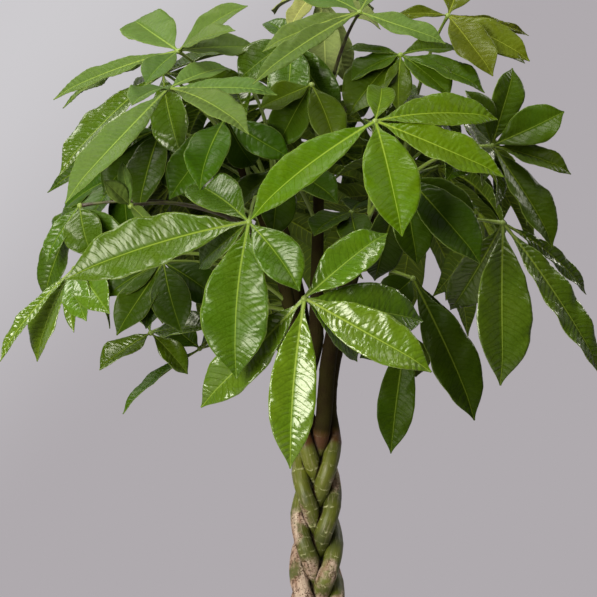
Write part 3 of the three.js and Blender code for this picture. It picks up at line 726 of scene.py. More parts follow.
# --- Leaves ---
# Each leaf is one stalk from its stem, a small hub, and three to seven leaflets with a raised pale rib.
# Waxy green above, paler and matt below; the blade domes up between its sunken side veins.
PETIOLE_AROUND = 10
PETIOLE_ROWS = 30
PETIOLE_ROOT_RADIUS = 2.6
PETIOLE_TIP_RADIUS = 1.5
PETIOLE_RISE = 0.18
PETIOLE_ROOT_FLARE = 0.35
PETIOLE_HUB_SWELL = 0.9
PETIOLE_FLARE_REACH = 0.05
PETIOLE_BEND_AT = 0.42
PETIOLE_CLIMB = 0.1
HUB_RADIUS = 3.4
HUB_FLAT = 0.8
HUB_AROUND = 16
HUB_RINGS = 9
BLADE_FOLD = 0.26
BLADE_SAG = 0.04
BACK_SAG = 0.1
CAD_PETIOLE_STEPS = 4
CAD_BLADE_THICK = 1.7
CAD_BLADE_OUTLINE = [[0.1, 0.07], [0.33, 0.8], [0.6, 1.0], [0.85, 0.5]]
CAD_CORNER_NEAR = 0.05
CAD_LEAST_CORNERS = 5

# The bends that a leaf tries to stand clear: its stalk's swing and lift, and each leaflet's step in depth,
# its roll and its share of the whole length
STALK_TRIES = [
    [0, 0], [0.12, 0], [-0.12, 0], [0, 0.12], [0.22, 0.05], [-0.22, 0.05], [0, -0.14], [0.3, 0.1],
    [-0.3, 0.1], [0.12, 0.2], [-0.12, 0.2], [0.2, -0.16], [-0.2, -0.16], [0.4, 0.2], [-0.4, 0.2], [0, 0.3],
]
BLADE_TRIES = [
    [0, 0, 1], [0, 0.25, 1], [0, -0.25, 1], [-16, 0, 1], [16, 0, 1], [-32, 0, 1], [32, 0, 1],
    [-16, 0.4, 1], [16, -0.4, 1], [-32, -0.4, 1], [32, 0.4, 1], [-50, 0, 0.95], [50, 0, 0.95],
    [0, 0.6, 0.85], [0, -0.6, 0.85], [-30, 0, 0.75], [30, 0, 0.75], [-60, 0.5, 0.8], [60, -0.5, 0.8],
]
VIEW_DISTANCE = 3000
VIEW_CENTRE = [-21.5, 705]

# Each tone of leaf: the colour of its upper side, and how dull its wax is
TONES = {
    "fresh": ("#445F09", 0.2),
    "lush": ("#354E03", 0.28),
    "bright": ("#3E5601", 0.34),
    # Greyed in part as a painted sheen, for leaves where the wax catches the light from above
    "sage": ("#425722", 0.5),
    "deep": ("#354A04", 0.23),
    # Darkened in part as painted shade, for leaves set inside the crown
    "dark": ("#243703", 0.36),
    "calm": ("#2E4803", 0.35),
    "moss": ("#314404", 0.36),
    "olive": ("#4B550C", 0.34),
    "pale": ("#6C7540", 0.5),
}

# Stem, height on it, hub, way the blades face, tone, and leaflets as x, y, z of the tip and width
FRONT_LEAVES = [
    (1, 800, (-76, -240, 789), (-0.1, -0.85, 0.5), "lush", [
        (-280, -232, 727, 62), (-91, -275, 617, 70), (-20, -275, 714, 46), (-141, -150, 834, 50),
        (-134, -185, 738, 34)]),
    (3, 700, (-15, -255, 705), (0, -0.9, 0.45), "fresh", [
        (-31, -275, 517, 48), (126, -290, 626, 52), (-132, -222, 585, 48), (77, -225, 779, 46),
        (118, -205, 681, 58), (46, -180, 635, 30)]),
    (3, 790, (63, -230, 900), (0, -0.75, 0.66), "bright", [
        (-75, -280, 794, 44), (93, -290, 775, 57), (205, -250, 840, 46), (199, -205, 905, 44),
        (70, -150, 940, 30)]),
    (1, 840, (-164, -150, 936), (-0.1, -0.6, 0.8), "sage", [
        (-280, -230, 812, 46), (-205, -255, 920, 38), (-95, -80, 960, 36), (-45, -195, 932, 28),
        (-76, -250, 890, 40)]),
    (2, 826, (-154, -60, 977), (-0.15, -0.7, 0.7), "sage", [
        (-78, -85, 1028, 36), (-92, -130, 1001, 34), (-293, -40, 926, 26), (-204, 50, 1012, 56),
        (-284, 15, 917, 18), (-66, -40, 982, 40), (-190, -110, 942, 34)]),
    (4, 800, (191, -120, 873), (0.5, -0.7, 0.5), "moss", [
        (216, -90, 960, 36), (271, -110, 911, 44), (280, -120, 844, 32), (260, -135, 762, 48),
        (163, -140, 934, 44)]),
    (4, 740, (203, -150, 788), (0.3, -0.85, 0.4), "deep", [
        (203, -180, 609, 62), (315, -140, 621, 38), (299, -90, 710, 20), (145, -90, 690, 44)]),
    (5, 885, (46, -120, 1020), (-0.1, -0.78, 0.62), "sage", [
        (-72, -200, 943, 28), (-25, -60, 1044, 44), (141, -150, 987, 28), (72, -20, 1062, 38),
        (-62, -140, 979, 28)]),
    (4, 855, (143, -40, 1016), (0.1, -0.85, 0.5), "olive", [
        (160, 30, 1070, 46), (234, -60, 968, 38), (233, 20, 995, 12), (193, -90, 952, 44),
        (230, 0, 965, 34), (85, -60, 1017, 16)]),
    (5, 860, (91, -80, 973), (0, -0.5, 0.86), "moss", [
        (30, -60, 979, 22), (33, -100, 907, 62), (88, -125, 912, 30), (146, -110, 927, 46),
        (185, -90, 934, 40), (160, -30, 978, 38), (36, -90, 946, 40)]),
    (1, 770, (-262, -20, 807), (-0.35, -0.85, 0.4), "lush", [
        (-300, -40, 746, 26), (-302, 10, 703, 38), (-248, -60, 750, 46), (-215, -40, 745, 44),
        (-292, 60, 760, 36)]),
    (1, 730, (-268, -60, 738), (-0.5, -0.6, 0.6), "fresh", [
        (-352, -90, 637, 22), (-311, -60, 636, 50), (-270, -90, 668, 18), (-256, -120, 681, 34),
        (-231, -130, 690, 40)]),
    (2, 830, (-170, -50, 953), (-0.5, -0.6, 0.6), "deep", [
        (-287, -100, 843, 48), (-77, -60, 940, 36), (-220, 60, 900, 44), (-150, -105, 860, 44),
        (-84, 40, 975, 44)]),
    (1, 755, (-206, -190, 807), (-0.2, -0.8, 0.5), "sage", [
        (-216, -200, 856, 14), (-236, -210, 835, 20), (-181, -235, 782, 14)]),
    (1, 820, (-102, -110, 903), (-0.2, -0.9, 0.4), "calm", [
        (-130, -165, 826, 46), (-165, -130, 815, 46), (-70, -60, 850, 40), (-30, -120, 860, 36)]),
    (3, 770, (96, -185, 840), (0.2, -0.9, 0.4), "dark", [
        (180, -230, 745, 54), (172, -165, 780, 50), (110, -200, 742, 44), (62, -60, 722, 44)]),
    (3, 730, (104, -110, 727), (0.2, -0.9, 0.3), "dark", [
        (174, -130, 571, 54), (180, -60, 618, 18), (70, -120, 700, 40)]),
    (3, 690, (98, -120, 670), (0, -0.95, 0.2), "moss", [
        (80, -130, 534, 40), (108, -100, 618, 34), (46, -130, 640, 32)]),
    (1, 690, (-184, -60, 667), (-0.2, -0.6, 0.75), "deep", [
        (-241, -110, 628, 36), (-120, -110, 674, 44), (-143, -60, 622, 28), (-205, 10, 715, 32)]),
    (2, 700, (-130, 0, 650), (-0.6, -0.3, 0.7), "calm", [
        (-217, -30, 580, 34), (-62, 70, 655, 40), (-85, -10, 700, 40), (-160, 90, 680, 40)]),
    (3, 760, (37, -60, 800), (0, -0.3, 0.95), "dark", [
        (-5, -120, 775, 40), (105, -100, 785, 42), (48, -140, 760, 38), (50, 30, 810, 40)]),
    (5, 900, (0, 20, 1044), (-0.1, -0.6, 0.8), "pale", [
        (8, -40, 925, 38), (-32, -60, 1000, 26), (-50, 80, 1020, 40), (60, 100, 1020, 40),
        (34, 10, 940, 34), (70, 40, 1002, 34)]),
    (5, 840, (-7, -100, 940), (0, -0.8, 0.6), "moss", [
        (-64, -120, 915, 32), (-45, -110, 870, 46), (20, -130, 870, 40)]),
    (2, 800, (-215, 40, 842), (-0.6, -0.5, 0.6), "calm", [
        (-298, 40, 745, 48), (-262, -10, 765, 48), (-205, -20, 748, 46), (-180, 60, 760, 44),
        (-286, 110, 796, 40)]),
    (5, 890, (-30, -40, 988), (-0.1, -0.7, 0.7), "lush", [
        (-88, -70, 945, 46), (-38, -105, 905, 46), (24, -85, 905, 44), (-70, 40, 970, 40),
        (-58, 10, 1010, 26)]),
    (2, 815, (-172, 10, 892), (-0.3, -0.8, 0.5), "dark", [
        (-238, -10, 820, 46), (-198, -50, 802, 46), (-140, -40, 815, 46), (-215, 90, 850, 44),
        (-300, 0, 824, 26)]),
    (5, 780, (-42, -70, 850), (0, -0.8, 0.6), "dark", [
        (-102, -95, 795, 44), (-50, -130, 772, 44), (22, -120, 812, 42), (-60, 20, 800, 42)]),
    (1, 700, (-170, -100, 745), (-0.2, -0.9, 0.4), "dark", [
        (-222, -130, 665, 40), (-190, -120, 672, 34), (-150, -145, 668, 44), (-105, -100, 700, 40),
        (-232, -110, 708, 36)]),
]

# The leaves of the back, the top and the inside, spaced by a rule of even turns
BACK_COUNT = 15
BACK_TURN = 2
CROWN_CENTRE = [0, 10, 820]
CROWN_REACH = [185, 185, 165]
BACK_LEAFLETS = 6
BACK_FAN = 0.86
BACK_LENGTH = 150
BACK_WIDTH = 48
BACK_DROOP = 0.42
BACK_HANG = 0.18
BACK_LOWEST = -0.15
BACK_HIGHEST = 0.85
BACK_LEAST_LEVEL = 0.1
BACK_MARGIN = 0.06
BACK_FACE_UP = 0.9
BACK_AHEAD_UP = 0.1
BACK_AHEAD_LEVEL = 0.5
BACK_FAN_VARIES = 0.2
BACK_SIDE_SHORTER = 0.12
BACK_SIZE_VARIES = 0.15
BACK_STALK_RISE = 70
BACK_STALK_LOWEST = 650
BACK_STALK_TOP = 22
BACK_SEED = 41
BACK_TONES = ["fresh", "deep", "bright", "deep", "fresh"]


def seen(spot):
    """A place as the front view shows it, moved to where it stands at its depth."""
    x, y, z = spot
    scale = 1 + y / VIEW_DISTANCE
    cx, cz = VIEW_CENTRE
    return np.array([cx + (x - cx) * scale, y, cz + (z - cz) * scale])


def front_leaves():
    """The leaves that the front view shows."""
    return [{
        "stem": stem - 1, "from": start, "hub": seen(hub), "face": unit(np.array(face, dtype=float)),
        "sag": BLADE_SAG, "tone": tone, "blades": [(seen(tip[:3]), tip[3]) for tip in tips],
    } for stem, start, hub, face, tone, tips in FRONT_LEAVES]


def random_run(seed):
    """The same run of numbers from 0 to 1 each time."""
    state = seed
    while True:
        state = (state * 1664525 + 1013904223) % 4294967296
        yield state / 4294967296


def nearest_stem(spot):
    """The stem whose splay leads closest to a place."""
    away = [math.hypot(spot[0] - SPLAY_LEAD * dx, spot[1] - SPLAY_LEAD * dy) for dx, dy in SPLAY_REACH]
    return away.index(min(away))


def back_leaves():
    """The rest of the crown: each hub on a rounded shell, with leaflets fanned round it and drooping."""
    run = random_run(BACK_SEED)
    leaves = []
    for i in range(BACK_COUNT):
        height = BACK_LOWEST + (BACK_HIGHEST - BACK_LOWEST) * (i + 0.5) / BACK_COUNT
        turns = i * BACK_TURN / math.pi
        side = math.pi * (BACK_MARGIN + (1 - 2 * BACK_MARGIN) * (turns - math.floor(turns)))
        level = math.sqrt(max(1 - height * height, BACK_LEAST_LEVEL))
        out = np.array([level * math.cos(side), level * math.sin(side), height])
        hub = out * CROWN_REACH + CROWN_CENTRE
        face = unit(out + [0, 0, BACK_FACE_UP])
        ahead = np.array([out[0], out[1], BACK_AHEAD_UP - BACK_AHEAD_LEVEL * out[2]])
        ahead = unit(ahead - face * ahead.dot(face))
        across = np.cross(face, ahead)
        blades = []
        for b in range(BACK_LEAFLETS):
            turn = (b - (BACK_LEAFLETS - 1) / 2) * BACK_FAN + BACK_FAN_VARIES * (next(run) - 0.5)
            share = 1 - BACK_SIDE_SHORTER * abs(turn) + BACK_SIZE_VARIES * (next(run) - 0.5)
            length = BACK_LENGTH * share
            tip = hub + length * (ahead * math.cos(turn) + across * math.sin(turn) - face * BACK_DROOP)
            blades.append((tip - [0, 0, length * BACK_HANG], BACK_WIDTH * share))
        stem = nearest_stem(hub)
        start = min(max(hub[2] - BACK_STALK_RISE, BACK_STALK_LOWEST), STEM_TOP[stem] - BACK_STALK_TOP)
        tone = BACK_TONES[i % len(BACK_TONES)]
        leaves.append({"stem": stem, "from": start, "hub": hub, "face": face, "sag": BACK_SAG, "tone": tone,
                       "blades": blades})
    return leaves


def stalk_curve(leaf, swing, lift, steps):
    """The bent line of a leaf stalk from inside its stem to the hub."""
    start = stem_point(leaf["stem"], leaf["from"])
    reach = leaf["hub"] - start
    length = np.linalg.norm(reach)
    side = unit(np.array([-reach[1], reach[0], 0.0]))
    control = start + reach * PETIOLE_BEND_AT + side * swing * length
    control[2] += abs(reach[2]) * PETIOLE_CLIMB + length * (PETIOLE_RISE + lift)
    t = np.linspace(0, 1, steps + 1)[:, None]
    return (1 - t) ** 2 * start + 2 * t * (1 - t) * control + t * t * leaf["hub"]


def turned_about(vector, axis, angle):
    """A vector turned about an axis at a right angle to it."""
    return vector * math.cos(angle) + np.cross(axis, vector) * math.sin(angle)


def blade_frame(leaf, tip, roll):
    """The reach of a leaflet, its length, its upward side and the side to its right."""
    reach = tip - leaf["hub"]
    length = float(np.linalg.norm(reach))
    along = reach / length
    up = unit(leaf["face"] - along * leaf["face"].dot(along))
    up = turned_about(up, along, roll)
    return reach, length, up, np.cross(along, up)


def blade_line(leaf, tip, roll, t):
    """The middle line of a leaflet at shares t of its length, and what is over it there."""
    reach, length, up, side = blade_frame(leaf, tip, roll)
    t = np.asarray(t, dtype=float)[:, None]
    middle = leaf["hub"] + reach * t + up * (4 * leaf["sag"] * length * t * (1 - t))
    slope = unit(reach + up * (4 * leaf["sag"] * length * (1 - 2 * t)))
    return middle, unit(np.cross(side, slope)), side, length


def corners_in(node_name):
    """The corners of a CAD node's mesh."""
    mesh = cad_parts[node_name].data
    places = np.empty(len(mesh.vertices) * 3, dtype=np.float32)
    mesh.vertices.foreach_get("co", places)
    return places.reshape(-1, 3) / MM


def shared(places, corners):
    """How many of these places are corners."""
    away = np.linalg.norm(places[:, None, :] - corners[None, :, :], axis=-1)
    return int((away.min(axis=1) < CAD_CORNER_NEAR).sum())


def cad_stalk(leaf, swing, lift):
    """The corners that the CAD leaf's stalk has with this bend: a four-sided tube of few steps."""
    points = stalk_curve(leaf, swing, lift, CAD_PETIOLE_STEPS)
    radii = np.linspace(PETIOLE_ROOT_RADIUS, PETIOLE_TIP_RADIUS, CAD_PETIOLE_STEPS + 1)
    before = np.concatenate([points[:1], points[:-1]])
    after = np.concatenate([points[1:], points[-1:]])
    across = np.array([1.0, 0.0, 0.0])
    corners = []
    for point, radius, direction in zip(points, radii, unit(after - before)):
        across = unit(across - direction * across.dot(direction))
        other = np.cross(direction, across)
        corners += [point + radius * spoke for spoke in (across, other, -across, -other)]
    return np.stack(corners)


def cad_blade(leaf, tip, width, roll):
    """The corners that one leaflet of the CAD leaf has with this tip and roll."""
    t, share = np.array(CAD_BLADE_OUTLINE).T
    middle, over, side, _ = blade_line(leaf, tip, roll, t)
    half = (width / 2 * share)[:, None]
    edge = middle + over * BLADE_FOLD * half
    thick = over * CAD_BLADE_THICK / 2
    return np.concatenate([edge + side * half, edge - side * half, middle - thick, middle + thick, [tip]])


def settled_bend(leaf, corners):
    """The swing and lift that the CAD leaf's stalk was given to stand clear of its neighbours."""
    scores = [shared(cad_stalk(leaf, swing, lift), corners) for swing, lift in STALK_TRIES]
    return STALK_TRIES[scores.index(max(scores))]


def settled_blades(leaf, corners):
    """The tip, width and roll of each leaflet that the CAD leaf has, where they stand clear."""
    found = []
    for tip, width in leaf["blades"]:
        scores, choices = [], []
        for deeper, roll, share in BLADE_TRIES:
            moved = leaf["hub"] + (tip + [0, deeper, 0] - leaf["hub"]) * share
            scores.append(shared(cad_blade(leaf, moved, width, roll), corners))
            choices.append((moved, width, roll))
        if max(scores) >= CAD_LEAST_CORNERS:
            found.append(choices[scores.index(max(scores))])
    return found


# Places along a leaflet and its share of the full width there, for a slim base and for a broad one
OUTLINE_PLACES = [0, 0.05, 0.1, 0.2, 0.33, 0.45, 0.6, 0.72, 0.82, 0.89, 0.94, 0.975, 1]
OUTLINE_SLIM = [0.05, 0.05, 0.1, 0.33, 0.66, 0.87, 1, 0.95, 0.74, 0.46, 0.22, 0.08, 0.015]
OUTLINE_BROAD = [0.05, 0.06, 0.14, 0.5, 0.84, 0.97, 1, 0.9, 0.68, 0.42, 0.2, 0.08, 0.015]
OUTLINE_EASE = 0.07
RIB_ROOT_RADIUS = 1.7
RIB_TIP_RADIUS = 0.3
RIB_FULL_LENGTH = 150
RIB_UNDER_DEPTH = -1.15
RIB_UPPER_HEIGHT = 0.28
RIB_COLUMNS = [0.55, 1.0]
BLADE_COLUMNS = [0.13, 0.31, 0.52, 0.73, 0.89, 1.0]
BLADE_HALF_THICK = 0.3
PLEAT_PITCH = 7.0
PLEAT_LEAST = 6
PLEAT_ROWS = 7
PLEAT_HEIGHT = 1.05
PLEAT_FULL_LENGTH = 130
PLEAT_LEAN = 0.34
PLEAT_WANDER = 0.3
BUCKLE_HEIGHT = 0.9
BUCKLE_PITCHES = [23, 37, 61]
MARGIN_WAVE = 2.0
MARGIN_WAVE_PITCH = 41
LEAFLET_TWIST = 0.2
SIDE_BOW = 0.03
LENGTH_BOW = 0.012
TIP_CURL = 0.03
LEAF_SEED = 23


def outline(t, broad):
    """Share of the full width at each place along a leaflet, eased from its listed places."""
    shares = np.array(OUTLINE_SLIM) * (1 - broad) + np.array(OUTLINE_BROAD) * broad
    raw = np.interp(t, OUTLINE_PLACES, shares)
    window = max(int(len(t) * OUTLINE_EASE) | 1, 3)
    kernel = np.hanning(window + 2)[1:-1]
    padded = np.pad(raw, window // 2, mode="edge")
    return np.convolve(padded, kernel / kernel.sum(), mode="valid")


def ripples(distance, pitches, draw):
    """An uneven wave of about -1 to 1, from sine waves of several pitches."""
    waves = [np.sin(2 * np.pi * (distance / pitch + draw.random())) for pitch in pitches]
    return sum(waves) / len(pitches) ** 0.5 / 1.2


def blade_columns(half, rib):
    """How far right the points of a ring lie, round under the blade and back, and how many are under."""
    outward = [rib * share for share in RIB_COLUMNS]
    outward += [(half - rib) * share + rib for share in BLADE_COLUMNS]
    inward = outward[::-1] + [np.zeros_like(rib)]
    return np.concatenate(inward + [-c for c in outward + inward] + outward, axis=1), 2 * len(outward)


def pleated(x, q, half, full, t, length, pleats, draw):
    """The count of side veins passed at each point, and the height of the blade as it domes between them."""
    # The veins lean toward the tip, arch as they near the margin and stand apart on the two sides
    lean = (half / length) * PLEAT_LEAN * (q + 0.9 * q * q)
    wander = ripples(t * length, [19, 31, 53], draw) * PLEAT_WANDER / pleats
    sides = np.where(x < 0, 0.5 + 0.1 * draw.random(), 0.1 * draw.random())
    phase = pleats * (t - lean + wander) + sides
    dome = 0.5 - 0.5 * np.cos(2 * np.pi * phase)
    strength = PLEAT_HEIGHT * min(length / PLEAT_FULL_LENGTH, 1) * (0.65 + 0.7 * draw.random())
    strength = strength * (1 + 0.3 * ripples(phase * 5, [11, 17], draw))
    reach = smooth(q, 0.02, 0.16) * (1 - 0.6 * smooth(q, 0.88, 1.0)) * smooth(full, 0.05, 0.4)
    return phase, strength * (dome ** 0.65 - 0.6) * reach


def uneven(x, q, full, t, length, draw):
    """Height that the blade's buckles, wavy margin, twist, curled tip and slight sway add."""
    right = ripples(t * length + 30 * q, BUCKLE_PITCHES, draw)
    left = ripples(t * length + 30 * q, BUCKLE_PITCHES, draw)
    buckle = BUCKLE_HEIGHT * smooth(q, 0.0, 0.8) * full * np.where(x > 0, right, left)
    turn = 2 * np.pi * t * length / MARGIN_WAVE_PITCH
    right = np.sin(turn + 6 * draw.random())
    left = np.sin(turn * 0.9 + 6 * draw.random())
    wavy = MARGIN_WAVE * (0.5 + 1.1 * draw.random() ** 2)
    wave = wavy * q ** 2.5 * np.where(x > 0, right, left) * full
    twist = LEAFLET_TWIST * (draw.random() - 0.5) * 2 * t ** 2 * x
    curl = -TIP_CURL * length * (0.5 + draw.random()) * smooth(t, 0.75, 1.0) ** 2
    sway = LENGTH_BOW * length * (draw.random() - 0.5) * np.sin(2 * np.pi * t)
    return buckle + wave + twist + curl + sway


def leaflet(leaf, tip, width, roll, draw):
    """One leaflet: its rings, the material of each column, and what its points store."""
    length = float(np.linalg.norm(tip - leaf["hub"]))
    pleats = max(length / PLEAT_PITCH, PLEAT_LEAST)
    t = np.linspace(0, 1, int(pleats * PLEAT_ROWS))
    middle, over, side, length = blade_line(leaf, tip, roll, t)
    bow = SIDE_BOW * length * (draw.random() - 0.5) * 2 * np.sin(np.pi * t)
    middle = middle + side * bow[:, None]
    share = outline(t, 0.35 + 0.65 * draw.random())[:, None]
    t = t[:, None]
    rib = RIB_ROOT_RADIUS + (RIB_TIP_RADIUS - RIB_ROOT_RADIUS) * t ** 0.7
    rib = rib * min(length / RIB_FULL_LENGTH, 1.1)
    half = np.maximum(width / 2 * share, rib * 1.25)
    x, under_count = blade_columns(half, rib)
    q = np.clip(np.abs(x) / half, 0, 1)
    full = half / (width / 2)
    phase, height = pleated(x, q, half, full, t, length, pleats, draw)
    height = height + uneven(x, q, full, t, length, draw)
    height = height + BLADE_FOLD * half * (1.45 * q - 0.45 * q ** 3)
    column = np.arange(x.shape[1])
    below = column <= under_count
    crest = np.sqrt(np.clip(1 - (x / rib) ** 2, 0, 1))
    height = height + BLADE_HALF_THICK * np.where(below, -1, 1)
    height = height + np.where(below, RIB_UNDER_DEPTH, RIB_UPPER_HEIGHT) * rib * crest
    rings = middle[:, None, :] + side * x[..., None] + over[:, None, :] * height[..., None]
    return rings, (column < under_count).astype(int), {"across": q, "rib": crest, "phase": phase}


def shade_of(tone, draw):
    """A leaf's tone, a little lighter or darker and yellower or bluer for one leaflet."""
    colour = np.array(paint(tone))
    colour[:3] *= 0.86 + 0.28 * draw.random()
    colour[0] *= 0.9 + 0.22 * draw.random()
    return colour


RIB_COLOUR = "#788B22"
MARGIN_COLOUR = "#7F9145"
UNDER_TINT = "#485610"
WAX_TINT = "#FDFFF4"
STALK_GREEN = "#617A1C"
STALK_BROWN_SHADE = "#33291A"
HUB_COLOUR = "#6D7E36"
VEIN_WIDTH = 0.12
UNDER_VEIN_WIDTH = 0.16


def vein_lines(tree, phase, across, width):
    """The side veins of a leaflet: 1 on a vein and 0 between, from the count of veins passed."""
    away = reckon(tree, "PINGPONG", phase, 0.5)
    line = between(tree, away, 0.0, width, 1.0, 0.0)
    fade = between(tree, across, 0.7, 1.0, 1.0, 0.15)
    return reckon(tree, "MULTIPLY", line, fade)


def vein_group():
    """The side veins as a group."""
    group, start, end = new_group(
        "side_veins",
        [("Phase", "Float", 0.0), ("Across", "Float", 0.0), ("Width", "Float", 0.1)],
        [("Mask", "Float")],
    )
    given = [start.outputs[label] for label in ("Phase", "Across", "Width")]
    group.links.new(vein_lines(group, *given), end.inputs["Mask"])
    return group


SIDE_VEINS = vein_group()


def upper_material():
    """Waxy green in the leaflet's own tone, with side veins, a pale midrib and margin, and fine creases."""
    material, tree, shader, where = new_material("leaf_upper")
    tone = value_of(tree, "tone", "Color")
    across = value_of(tree, "across")
    phase = value_of(tree, "phase")
    rib = value_of(tree, "rib")
    dullness = value_of(tree, "dullness")
    broad = place(tree, MOTTLE, Vector=where, Scale=30.0, Detail=3.0, Contrast=1.6)
    fine = place(tree, MOTTLE, Vector=where, Scale=420.0, Detail=4.0, Contrast=1.8)
    veins = place(tree, SIDE_VEINS, Phase=phase, Across=across, Width=VEIN_WIDTH)
    # Side veins are pale lines on dull leaves, and on glossy leaves they are darkened as painted shade in the
    # sunken grooves
    shade = node(tree, "HueSaturation", Hue=between(tree, broad, 0.0, 1.0, 0.492, 0.506), Saturation=1.0,
                 Value=between(tree, fine, 0.0, 1.0, 0.86, 1.12), Color=tone)
    line = node(tree, "HueSaturation", Hue=0.495, Saturation=0.95,
                Value=between(tree, dullness, 0.26, 0.44, 0.5, 1.4), Color=tone)
    tinted = mixed(tree, reckon(tree, "MULTIPLY", veins, 0.5), shade.outputs[0], line.outputs[0])
    bright = node(tree, "HueSaturation", Hue=0.476, Saturation=0.86, Value=2.4, Color=tone)
    rib_tone = mixed(tree, 0.35, bright.outputs[0], paint(RIB_COLOUR))
    tinted = mixed(tree, reckon(tree, "MULTIPLY", rib, 0.82), tinted, rib_tone)
    margin = between(tree, across, 0.955, 1.0, 0.0, 0.4)
    fill(tree, shader.inputs["Base Color"], mixed(tree, margin, tinted, paint(MARGIN_COLOUR)))
    # The wax is thinner on the midrib and beside it, and in the sunken veins
    rough = reckon(tree, "MULTIPLY_ADD", fine, 0.1, reckon(tree, "SUBTRACT", dullness, 0.05))
    beside = between(tree, across, 0.06, 0.15, 0.2, 0.0)
    bare = reckon(tree, "MAXIMUM", between(tree, rib, 0.0, 0.5, 0.0, 0.35), beside)
    fill(tree, shader.inputs["Roughness"], reckon(tree, "ADD", rough, bare, clamp=True))
    # The level of shine is worked out in the material itself, so the veins are drawn once more for it
    shine = between(tree, dullness, 0.2, 0.36, 0.56, 0.1)
    sunken = vein_lines(tree, phase, across, VEIN_WIDTH)
    waxed = reckon(tree, "MULTIPLY", between(tree, across, 0.05, 0.18, 0.3, 1.0),
                   between(tree, sunken, 0.1, 0.7, 1.0, 0.12))
    fill(tree, shader.inputs["Specular IOR Level"], reckon(tree, "MULTIPLY", shine, waxed))
    shader.inputs["Specular Tint"].default_value = paint(WAX_TINT)
    # Small creases run from the midrib to the margin between the side veins
    run = node(tree, "CombineXYZ", X=phase, Y=reckon(tree, "MULTIPLY", across, 0.9), Z=dullness)
    crease = node(tree, "TexNoise", Vector=run.outputs[0], Scale=1.9, Detail=3.0, Distortion=0.4)
    skin = place(tree, RELIEF, Vector=where, Scale=260.0, Strength=0.1, Depth=0.0005)
    creased = node(tree, "Bump", Strength=0.28, Distance=0.0016, Height=crease.outputs[0], Normal=skin)
    fill(tree, shader.inputs["Normal"], creased.outputs[0])
    return material


def under_material():
    """The paler, matt underside, with its side veins raised."""
    material, tree, shader, where = new_material("leaf_underside")
    tone = value_of(tree, "tone", "Color")
    across = value_of(tree, "across")
    cloud = place(tree, MOTTLE, Vector=where, Scale=120.0, Detail=4.0, Contrast=1.6)
    veins = place(tree, SIDE_VEINS, Phase=value_of(tree, "phase"), Across=across, Width=UNDER_VEIN_WIDTH)
    matt = mixed(tree, between(tree, cloud, 0.0, 1.0, 0.3, 0.5), tone, paint(UNDER_TINT))
    matt = mixed(tree, reckon(tree, "MULTIPLY", veins, 0.5), matt, paint(RIB_COLOUR))
    rib = reckon(tree, "MULTIPLY", value_of(tree, "rib"), 0.95)
    fill(tree, shader.inputs["Base Color"], mixed(tree, rib, matt, paint(RIB_COLOUR)))
    shader.inputs["Roughness"].default_value = 0.62
    shader.inputs["Specular IOR Level"].default_value = 0.2
    skin = place(tree, RELIEF, Vector=where, Scale=500.0, Strength=0.3, Depth=0.0005)
    raised = node(tree, "Bump", Strength=0.6, Distance=0.0008, Height=veins, Normal=skin)
    fill(tree, shader.inputs["Normal"], raised.outputs[0])
    return material


def stalk_material():
    """Smooth green stalk and hub, dark brown on a few leaves, where it is in part painted shade."""
    material, tree, shader, where = new_material("leaf_stalk")
    cloud = place(tree, MOTTLE, Vector=where, Scale=80.0, Detail=4.0, Contrast=2.0)
    tone = mixed(tree, cloud, paint(STALK_GREEN), paint(HUB_COLOUR))
    brown = reckon(tree, "MULTIPLY", value_of(tree, "browned"), between(tree, cloud, 0.1, 0.7, 0.7, 1.0))
    fill(tree, shader.inputs["Base Color"], mixed(tree, brown, tone, paint(STALK_BROWN_SHADE)))
    shader.inputs["Roughness"].default_value = 0.45
    skin = place(tree, RELIEF, Vector=where, Scale=500.0, Strength=0.3, Depth=0.0004)
    fill(tree, shader.inputs["Normal"], skin)
    return material


def stalk_rings(leaf):
    """The leaf stalk, thicker where it leaves its stem and again just under the hub."""
    swing, lift = leaf["bend"]
    points = stalk_curve(leaf, swing, lift, PETIOLE_ROWS)
    t = np.linspace(0, 1, PETIOLE_ROWS + 1)
    radii = PETIOLE_ROOT_RADIUS + (PETIOLE_TIP_RADIUS - PETIOLE_ROOT_RADIUS) * t
    flare = PETIOLE_ROOT_FLARE * np.exp(-(t / PETIOLE_FLARE_REACH) ** 2)
    swell = PETIOLE_HUB_SWELL * np.exp(-((1 - t) / PETIOLE_FLARE_REACH) ** 2)
    return tube_rings(points, radii * (1 + flare) + swell, PETIOLE_AROUND)


def hub_rings(leaf):
    """The small flattened knob where the leaflets join."""
    polar = np.linspace(0.2, math.pi - 0.2, HUB_RINGS)
    points = leaf["hub"] - np.cos(polar)[:, None] * leaf["face"] * HUB_RADIUS * HUB_FLAT
    return tube_rings(points, HUB_RADIUS * np.sin(polar), HUB_AROUND)


# Leaves whose stalks are painted dark brown; on some of them the brown stands in for the shade inside the
# crown
STALK_BROWN_SHADE_LEAVES = {8, 10, 11, 14, 25}
STALK_FINISH = 2

